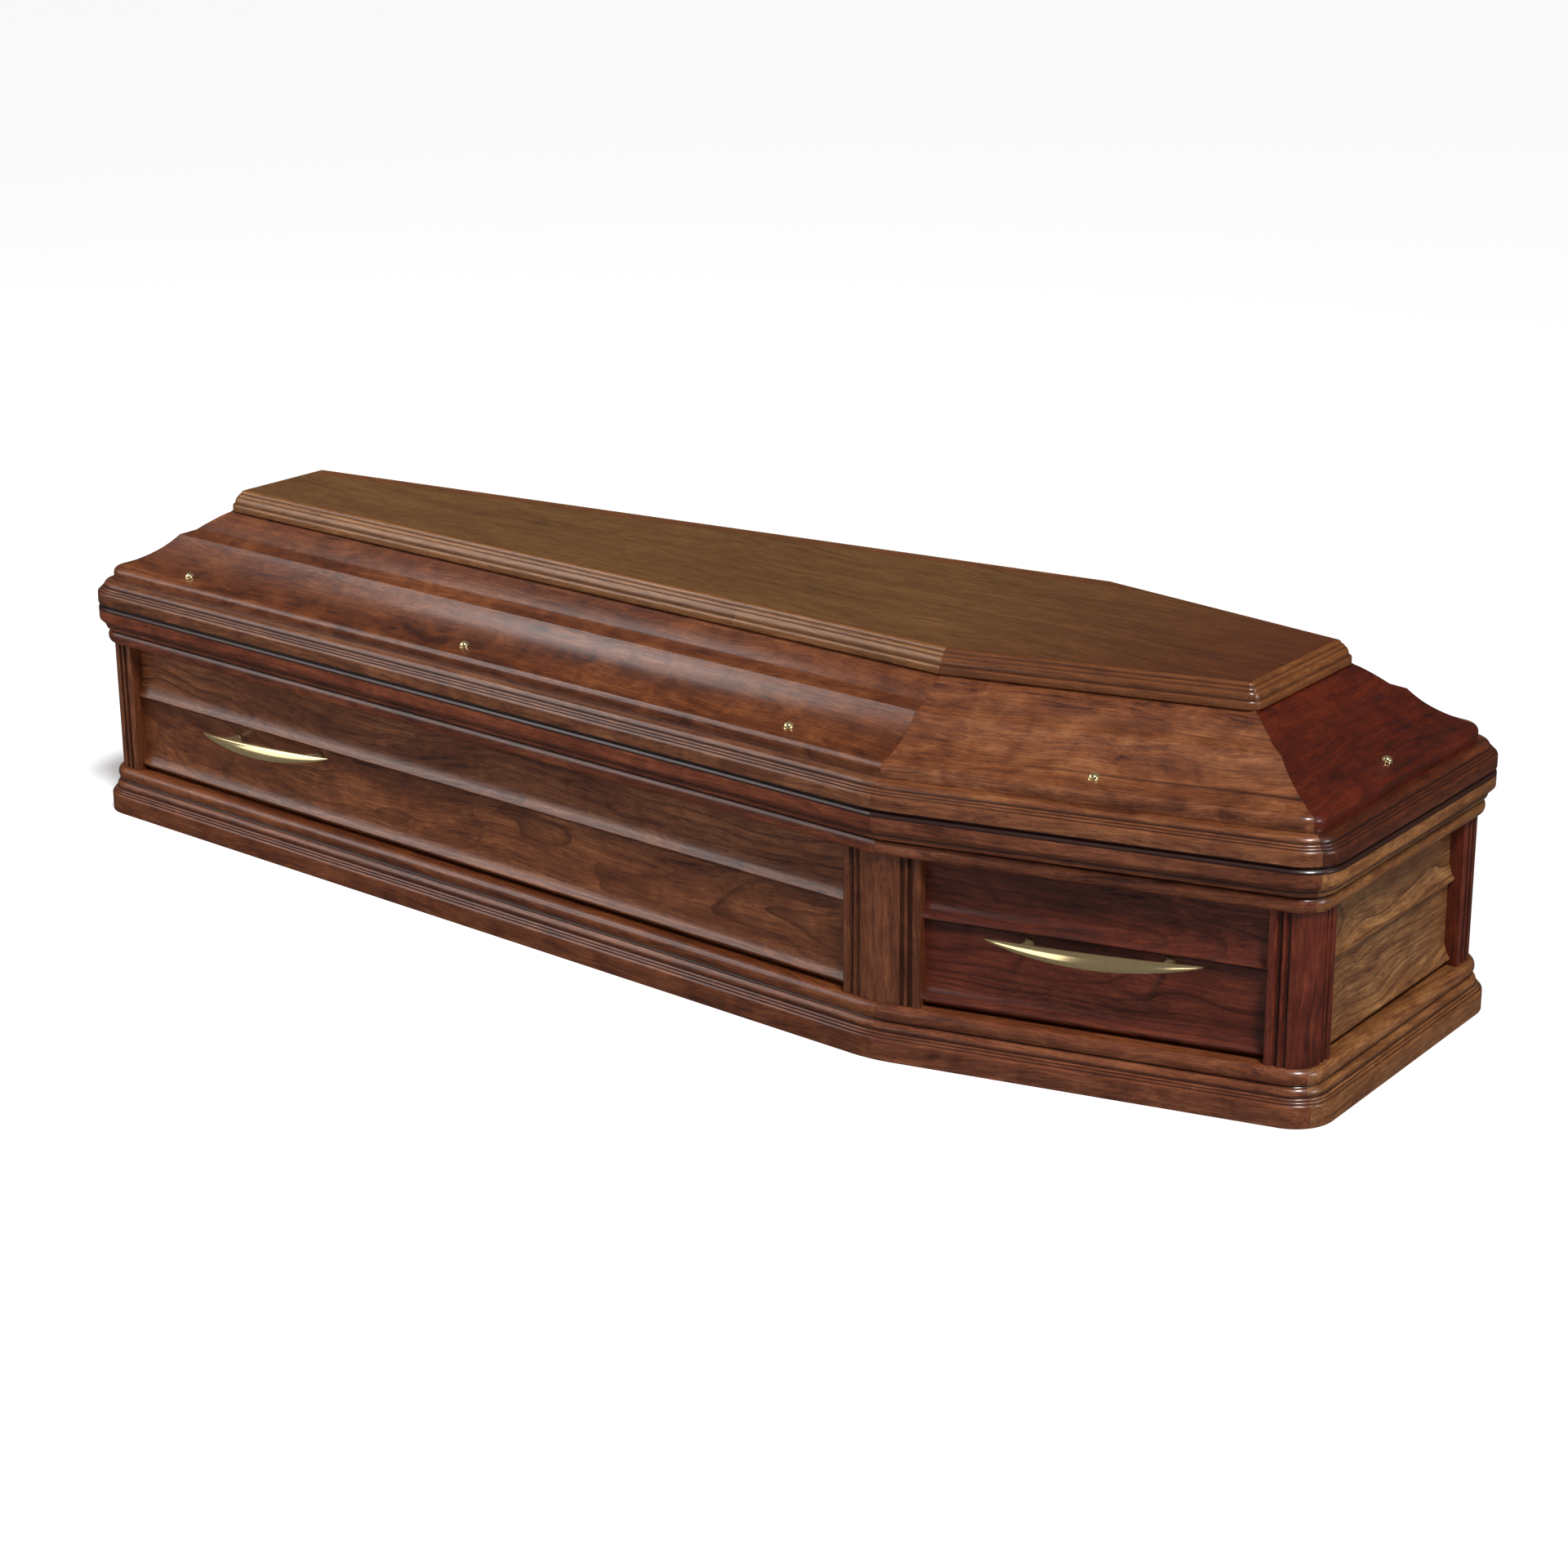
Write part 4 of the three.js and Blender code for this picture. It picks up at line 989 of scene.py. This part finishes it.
class COFFIN_OT_plate(bpy.types.Operator):
    """Make the raised top: its edge moulding and its board"""

    bl_idname = "coffin.plate"
    bl_label = "Top plate"

    arris_radius = 2 * MM
    land = 3 * MM
    rebate = 19 * MM
    # Foot of the edge as (outwards, rise), and inward step and rise of each moulding above, in millimetres
    foot = ((18, 0), (18, 7), (17.6, 8.3), (16.9, 9.1), (15.4, 9.6), (14.3, 9.6))
    mouldings = ((4.8, 10), (4.7, 4.2), (4.2, 4.4))
    # Strength of the painted shade in the edge moulding's inner corners
    edge_hollow = 0.55
    butt_joint_from_shoulder = 0.328
    joint_width = 0.7 * MM
    slices = 24
    # The board darkens from this place along its length to its head end
    darker_from = 0.35
    head_tint = (0.68, 0.36, 0.3)
    strip_tint = (1.05, 0.8, 0.75)

    def section(self):
        points = [(out * MM, rise * MM) for out, rise in self.foot]
        for inwards, rise in self.mouldings:
            points += quarter(points[-1], inwards * MM, rise * MM)
        top = points[-1][1]
        ledge = BOARD_BOTTOM - PLATE_BOTTOM - GAP
        points += [(-self.land, top), (-self.land, ledge)]
        return points + [(-self.land - self.rebate, ledge), (-self.land - self.rebate, 0.0)]

    def lengths(self, side, rows):
        """The left long side is two lengths, butted square near the shoulder."""
        if side:
            return {"": rows}
        along = along_side(PLATE_PLAN, 0)
        joint = PLATE_PLAN[1] - along * self.butt_joint_from_shoulder
        footward, headward = [], []
        for height, points in rows:
            before_joint = [point for point in points if (point - joint).dot(along) < 0]
            last = before_joint[-1]
            crossing = last + along * (joint - last).dot(along)
            footward.append((height, before_joint + [crossing - along * GAP / 2]))
            headward.append((height, [crossing + along * GAP / 2] + points[len(before_joint):]))
        return {"_foot": footward, "_head": headward}

    def execute(self, context):
        mitres = mitres_through(PLATE_PLAN, set_out(PLATE_PLAN, -self.land - self.rebate))
        section = cleaned(self.section(), context.scene.coffin_sizes.arris)
        for side, side_name in enumerate(SIDES):
            rows = []
            for out, height in section:
                radius = rounded_from(self.arris_radius + out)
                radii = [0.0 if index in SHOULDERS else radius for index in range(len(CORNERS))]
                points = course(set_out(PLATE_PLAN, out), radii, side, mitres, False)
                rows.append((PLATE_BOTTOM + height, points))
            for part, (ending, placed) in enumerate(self.lengths(side, rows).items()):
                node = f"plate_edge_{side_name}{ending}"
                seed = SEEDS["plate_edge"] + side + PLATE_PART_SEED_STEP * part
                place_length(node, placed, "top wood", "top_wood", PLATE_PLAN, side, seed,
                             hollow=self.edge_hollow)
        self.board(context.scene.coffin_sizes.board_joint)
        return {"FINISHED"}

    def board(self, joint_in):
        """The top board: two boards glued side by side, redder and darker towards the head."""
        plan = set_out(PLATE_PLAN, -self.land - GAP)
        far_side = SIDES.index("right_long")
        inwards = -outward_of(plan, far_side)
        joint = plan[far_side] + inwards * joint_in
        groove = inwards * self.joint_width / 2
        plans = [clipped(plan, joint + groove, inwards), clipped(plan, joint - groove, -inwards)]
        mesh = prism("top_board", plans, BOARD_BOTTOM, BOARD_TOP)
        shape = bmesh.new()
        shape.from_mesh(mesh)
        for step in range(1, self.slices):
            place = (HALF_LENGTH * (2 * step / self.slices - 1), 0, 0)
            geometry = shape.verts[:] + shape.edges[:] + shape.faces[:]
            bmesh.ops.bisect_plane(shape, geom=geometry, plane_co=place, plane_no=LENGTHWISE)
        shape.to_mesh(mesh)
        shape.free()
        tints = []
        darkest_at = HALF_LENGTH - PLATE_HEAD_INSET
        for vertex in mesh.vertices:
            way = (vertex.co.x - self.darker_from) / (darkest_at - self.darker_from)
            tint = blend(NO_TINT, self.head_tint, min(1.0, max(0.0, way)))
            if (vertex.co.to_2d() - joint).dot(inwards) < 0:
                tint = tuple(a * b for a, b in zip(tint, self.strip_tint))
            tints += tint
        add_tint(mesh, tints)
        along, outwards = flat(along_side(PLATE_PLAN, 0)), flat(outward_of(PLATE_PLAN, 0))
        place_piece("top_board", mesh, "top wood", "top_wood", along, outwards, SEEDS["top_board"])


class COFFIN_OT_studs(bpy.types.Operator):
    """Make the domed brass studs of the slope panels"""

    bl_idname = "coffin.studs"
    bl_label = "Studs"

    inset = 24 * MM
    flange = 1 * MM
    flange_round = 0.5 * MM
    dome_in = 1 * MM
    dome = 4.6 * MM
    flange_steps = 4
    dome_steps = 12
    sides = 40

    def profile(self, radius):
        """Half section of a stud, from its base's middle to its top."""
        points = [(0.0, 0.0), (radius, 0.0)]
        points += arc((radius - self.flange_round, self.flange / 2), (self.flange_round, self.flange / 2),
                      0, 90, self.flange_steps)
        return points + arc((0.0, self.flange), (radius - self.dome_in, self.dome), 0, 90, self.dome_steps)

    def execute(self, context):
        radius = context.scene.coffin_sizes.stud_radius
        for node in sorted(name for name in frame["nodes"] if name.startswith("stud_")):
            low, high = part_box(node)
            side = next(index for index, name in enumerate(SIDES) if node.startswith("stud_" + name))
            foot, head = (self.nearest(plan, side, (low + high) / 2) for plan in (SLOPE_FOOT, SLOPE_HEAD))
            run = (foot - head).dot(outward_of(BODY_PLAN, side))
            way, reach = self.inset / run, radius / run
            ahead, back = slope_rise_at(way + reach), slope_rise_at(way - reach)
            tilt = math.atan2(ahead - back, 2 * radius)
            up = flat(outward_of(BODY_PLAN, side)) * math.sin(tilt) + UP * math.cos(tilt)
            plan = mixed(SLOPE_FOOT, SLOPE_HEAD, way)
            place = self.nearest(plan, side, (low + high) / 2)
            base = Vector((place.x, place.y, SLOPE_BOTTOM + (ahead + back) / 2)) + up * GAP
            self.make(node, radius, base, up)
        return {"FINISHED"}

    def nearest(self, plan, side, spot):
        """The point of one side of a plan that lies nearest to a spot."""
        along = along_side(plan, side)
        return plan[side] + along * (spot.to_2d() - plan[side]).dot(along)

    def make(self, node, radius, base, up):
        """Turns the profile round the stud's axis."""
        turn = UP.rotation_difference(up).to_matrix()
        profile = self.profile(radius)
        vertices = []
        for step in range(self.sides):
            angle = 2 * math.pi * step / self.sides
            for out, height in profile:
                spot = Vector((out * math.cos(angle), out * math.sin(angle), height))
                vertices.append(tuple(base + turn @ spot))
        count = len(profile)
        faces = []
        for step in range(self.sides):
            following = (step + 1) % self.sides
            for row in range(count - 1):
                faces.append((step * count + row, following * count + row,
                              following * count + row + 1, step * count + row + 1))
        mesh = clean_mesh(node, vertices, faces)
        place_piece(node, mesh, "brass", "brass", LENGTHWISE, CROSSWISE, SEEDS["stud"], BRASS_SHARP_ANGLE)


class COFFIN_OT_handles(bpy.types.Operator):
    """Make the four bow handles"""

    bl_idname = "coffin.handles"
    bl_label = "Handles"

    length = 265 * MM
    height = 18 * MM
    tip_height = 3 * MM
    bulge = 10 * MM
    face_lean = 0.3
    # Powers that make the bar's front, back, edges and tips fuller than an ellipse
    front_power = 0.42
    back_power = 0.7
    edge_power = 0.9
    tip_power = 0.25
    standoff = 26 * MM
    arm_spacing = 172 * MM
    arm_radius = 3.8 * MM
    arm_set_back = 3 * MM
    arm_drop = 8 * MM
    arm_tip = 0.1 * MM
    arm_round_degrees = 15
    neck_radius = 3.2 * MM
    neck_from_rose = 6 * MM
    # Rings of the rose as distance from the panel and radius, in millimetres
    rose = ((3, 5), (0.6, 6), (0, 5.6))
    stations = 56
    sides = 28
    arm_sides = 24
    # Side, distance from the side's first corner, height, and tilt in degrees
    places = (
        (0, 0.370, 0.1675, 3.4), (4, 1.1007, 0.1675, -3.4),
        (1, 0.27309, 0.1745, 1.2), (3, 0.27309, 0.1745, -1.2))

    def bar(self, thickness):
        """Rings of the bow from tip to tip, and its two tips."""
        rings = []
        for station in range(1, self.stations):
            way = -math.cos(math.pi * station / self.stations)
            belly = 1 - way * way
            height = self.tip_height * belly ** self.tip_power + (self.height - self.tip_height) * belly
            depth = thickness * math.sqrt(belly)
            ring = []
            for corner in range(self.sides):
                angle = 2 * math.pi * corner / self.sides
                ahead, aloft = math.cos(angle), math.sin(angle)
                power = self.front_power if ahead > 0 else self.back_power
                up = height / 2 * (math.copysign(abs(aloft) ** self.edge_power, aloft) - 1)
                out = self.bulge * belly + depth / 2 * math.copysign(abs(ahead) ** power, ahead)
                out -= self.face_lean * (up + height)
                ring.append(Vector((way * self.length / 2, -out, up)))
            rings.append(ring)
        tips = [Vector((end * self.length / 2, 0, -self.tip_height / 2)) for end in (-1, 1)]
        return rings, tips

    def arm(self, along, back):
        """Rings of one arm from the bar back to its rose on the panel."""
        way = 2 * along / self.length
        bar = Vector((along, self.arm_set_back - self.bulge * (1 - way * way), -self.arm_radius))
        foot = Vector((along, back, -self.arm_drop))
        axis = (foot - bar).normalized()
        lift = axis.cross(LENGTHWISE)
        radii = [(0.0, self.arm_tip)]
        for degrees in range(self.arm_round_degrees, 91, self.arm_round_degrees):
            angle = math.radians(degrees)
            radii.append((self.arm_radius * (1 - math.cos(angle)), self.arm_radius * math.sin(angle)))
        radii.append(((foot - bar).length - self.neck_from_rose, self.neck_radius))
        spokes = [2 * math.pi * step / self.arm_sides for step in range(self.arm_sides)]
        rings = []
        for depth, radius in radii:
            middle = bar + axis * depth
            rings.append([middle + (LENGTHWISE * math.cos(a) + lift * math.sin(a)) * radius for a in spokes])
        for depth, radius in self.rose:
            middle = foot - CROSSWISE * (depth * MM)
            circle = [LENGTHWISE * math.cos(a) - UP * math.sin(a) for a in spokes]
            rings.append([middle + spoke * (radius * MM) for spoke in circle])
        return rings

    def tube(self, rings, tips, vertices, faces):
        """Adds rings joined by faces, closed by tips or flat ends."""
        start = len(vertices)
        count = len(rings[0])
        for ring in rings:
            vertices += [tuple(point) for point in ring]
        for row in range(len(rings) - 1):
            for corner in range(count):
                a, b = start + row * count + corner, start + row * count + (corner + 1) % count
                faces.append((a, b, b + count, a + count))
        last = start + (len(rings) - 1) * count
        if tips:
            vertices += [tuple(tip) for tip in tips]
            first_tip = len(vertices) - 2
            for corner in range(count):
                faces.append((first_tip, start + (corner + 1) % count, start + corner))
                faces.append((first_tip + 1, last + corner, last + (corner + 1) % count))
        else:
            faces.append(tuple(start + corner for corner in range(count)))
            faces.append(tuple(last + corner for corner in range(count))[::-1])

    def execute(self, context):
        thickness = context.scene.coffin_sizes.bar_thickness
        for side, distance, height, tilt in self.places:
            vertices, faces = [], []
            rings, tips = self.bar(thickness)
            self.tube(rings, tips, vertices, faces)
            for along in (-self.arm_spacing / 2, self.arm_spacing / 2):
                self.tube(self.arm(along, self.standoff - GAP), None, vertices, faces)
            node = "handle_" + SIDES[side]
            mesh = clean_mesh(node, vertices, faces)
            along, outwards = along_side(BODY_PLAN, side), outward_of(BODY_PLAN, side)
            tips_out = WALL_FACE - FIELD_IN + self.standoff
            place = BODY_PLAN[side] + along * distance + outwards * tips_out
            heading = Matrix.Rotation(math.atan2(along.y, along.x), 4, "Z")
            turn = heading @ Matrix.Rotation(math.radians(-tilt), 4, "Y")
            mesh.transform(Matrix.Translation((place.x, place.y, height)) @ turn)
            place_piece(node, mesh, "brass", "brass", flat(along), flat(outwards), SEEDS["handle"],
                        BRASS_SHARP_ANGLE)
        return {"FINISHED"}


# Stage


class COFFIN_OT_stage(bpy.types.Operator):
    """Make the floor, the soft lights and the camera of the photograph's view"""

    bl_idname = "coffin.stage"
    bl_label = "Stage"

    camera_place = (2.4589, -3.2413, 1.5166)
    camera_azimuth = 36.25
    camera_elevation = 18.43
    camera_roll = -0.354
    lens = 72.88
    sensor = 36.0
    view_end = 200.0
    floor_size = 80.0
    floor_tone = (0.88, 0.88, 0.88)
    # World strength: what lights and mirrors in the wood, and what the camera sees above the floor
    fill = 0.06
    backdrop = 1.2
    world_tone = (1.0, 0.9, 0.8, 1.0)
    # Direction towards the sun, strength, and spread in degrees
    daylight = ((0.444, -0.288, 0.848), 3.9, 14)
    # Name, place, target, size and power of each soft light
    lights = (
        ("left window", (-2.6, -2.1, 2.3), (0, 0, 0.25), 2.6, 55),
        ("overhead left", (-2.5, -0.8, 3.05), (-0.2, -0.3, 0.3), 1.0, 12),
        ("front card", (-0.4, -4.38, 1.05), (0.6, -0.3, 0.2), 0.9, 5),
        ("right card", (1.45, -4.4, 1.05), (0.8, -0.3, 0.2), 0.5, 1.6),
        ("left card", (-3.8, -3.05, 1.35), (-0.6, -0.3, 0.2), 1.6, 14),
        ("right", (4.2, 0.2, 1.1), (1.0, 0, 0.25), 0.9, 30))

    def execute(self, context):
        self.add_floor()
        self.add_camera(context)
        self.add_world(context)
        self.add_sun("daylight", *self.daylight)
        for light in self.lights:
            self.add_light(*light)
        context.scene.view_settings.view_transform = "Standard"
        return {"FINISHED"}

    def add_floor(self):
        half = self.floor_size / 2
        corners = [(-half, -half, 0), (half, -half, 0), (half, half, 0), (-half, half, 0)]
        mesh = bpy.data.meshes.new("floor_plane")
        mesh.from_pydata(corners, [], [(0, 1, 2, 3)])
        net = Net("pale floor")
        net.set(Base_Color=self.floor_tone, Roughness=0.9, Specular_IOR_Level=0.1)
        mesh.materials.append(net.material)
        ground = bpy.data.objects.new("studio_floor", mesh)
        # The lacquer and the brass don't mirror the floor, which would turn them pale
        ground.visible_glossy = False
        bpy.context.scene.collection.objects.link(ground)

    def add_camera(self, context):
        data = bpy.data.cameras.new("view")
        data.lens = self.lens
        data.sensor_width = self.sensor
        data.sensor_fit = "HORIZONTAL"
        data.clip_end = self.view_end
        camera = bpy.data.objects.new("view", data)
        tilt = Matrix.Rotation(math.radians(90 - self.camera_elevation), 4, "X")
        roll = Matrix.Rotation(math.radians(self.camera_roll), 4, "Z")
        turn = Matrix.Rotation(math.radians(self.camera_azimuth), 4, "Z") @ tilt @ roll
        camera.matrix_world = Matrix.Translation(self.camera_place) @ turn
        context.scene.collection.objects.link(camera)
        context.scene.camera = camera

    def add_world(self, context):
        world = bpy.data.worlds.new("soft studio")
        world.use_nodes = True
        background = world.node_tree.nodes["Background"]
        background.inputs["Color"].default_value = self.world_tone
        path = world.node_tree.nodes.new("ShaderNodeLightPath")
        strength = world.node_tree.nodes.new("ShaderNodeMapRange")
        strength.inputs["To Min"].default_value = self.fill
        strength.inputs["To Max"].default_value = self.backdrop
        world.node_tree.links.new(path.outputs["Is Camera Ray"], strength.inputs["Value"])
        world.node_tree.links.new(strength.outputs["Result"], background.inputs["Strength"])
        context.scene.world = world

    def add_sun(self, name, towards, strength, spread):
        data = bpy.data.lights.new(name, "SUN")
        data.energy = strength
        data.angle = math.radians(spread)
        light = bpy.data.objects.new(name, data)
        light.rotation_euler = Vector(towards).to_track_quat("Z", "Y").to_euler()
        bpy.context.scene.collection.objects.link(light)

    def add_light(self, name, place, target, size, power):
        data = bpy.data.lights.new(name, "AREA")
        data.shape = "SQUARE"
        data.size = size
        data.energy = power
        light = bpy.data.objects.new(name, data)
        light.location = place
        aim = Vector(target) - Vector(place)
        light.rotation_euler = aim.to_track_quat("-Z", "Y").to_euler()
        bpy.context.scene.collection.objects.link(light)


OPERATORS = (
    COFFIN_OT_materials, COFFIN_OT_plinth, COFFIN_OT_posts, COFFIN_OT_panels, COFFIN_OT_rim,
    COFFIN_OT_lid_frame, COFFIN_OT_slopes, COFFIN_OT_plate, COFFIN_OT_studs, COFFIN_OT_handles,
    COFFIN_OT_stage)


class COFFIN_PT_panel(bpy.types.Panel):
    """Lists the coffin's pieces and sizes"""

    bl_idname = "COFFIN_PT_panel"
    bl_label = "Coffin"
    bl_space_type = "VIEW_3D"
    bl_region_type = "UI"
    bl_category = "Coffin"

    def draw(self, context):
        column = self.layout.column()
        for group in (context.scene.coffin_sizes, context.scene.coffin_looks):
            for name in group.bl_rna.properties.keys()[1:]:
                column.prop(group, name)
        for operator in OPERATORS:
            column.operator(operator.bl_idname)


CLASSES = (CoffinSizes, CoffinLooks, *OPERATORS, COFFIN_PT_panel)


def register():
    for item in CLASSES:
        bpy.utils.register_class(item)
    bpy.types.Scene.coffin_sizes = bpy.props.PointerProperty(type=CoffinSizes)
    bpy.types.Scene.coffin_looks = bpy.props.PointerProperty(type=CoffinLooks)


def unregister():
    del bpy.types.Scene.coffin_looks
    del bpy.types.Scene.coffin_sizes
    for item in reversed(CLASSES):
        bpy.utils.unregister_class(item)


def main():
    register()
    for operator in OPERATORS:
        group, name = operator.bl_idname.split(".")
        getattr(getattr(bpy.ops, group), name)()


if __name__ == "__main__":
    main()
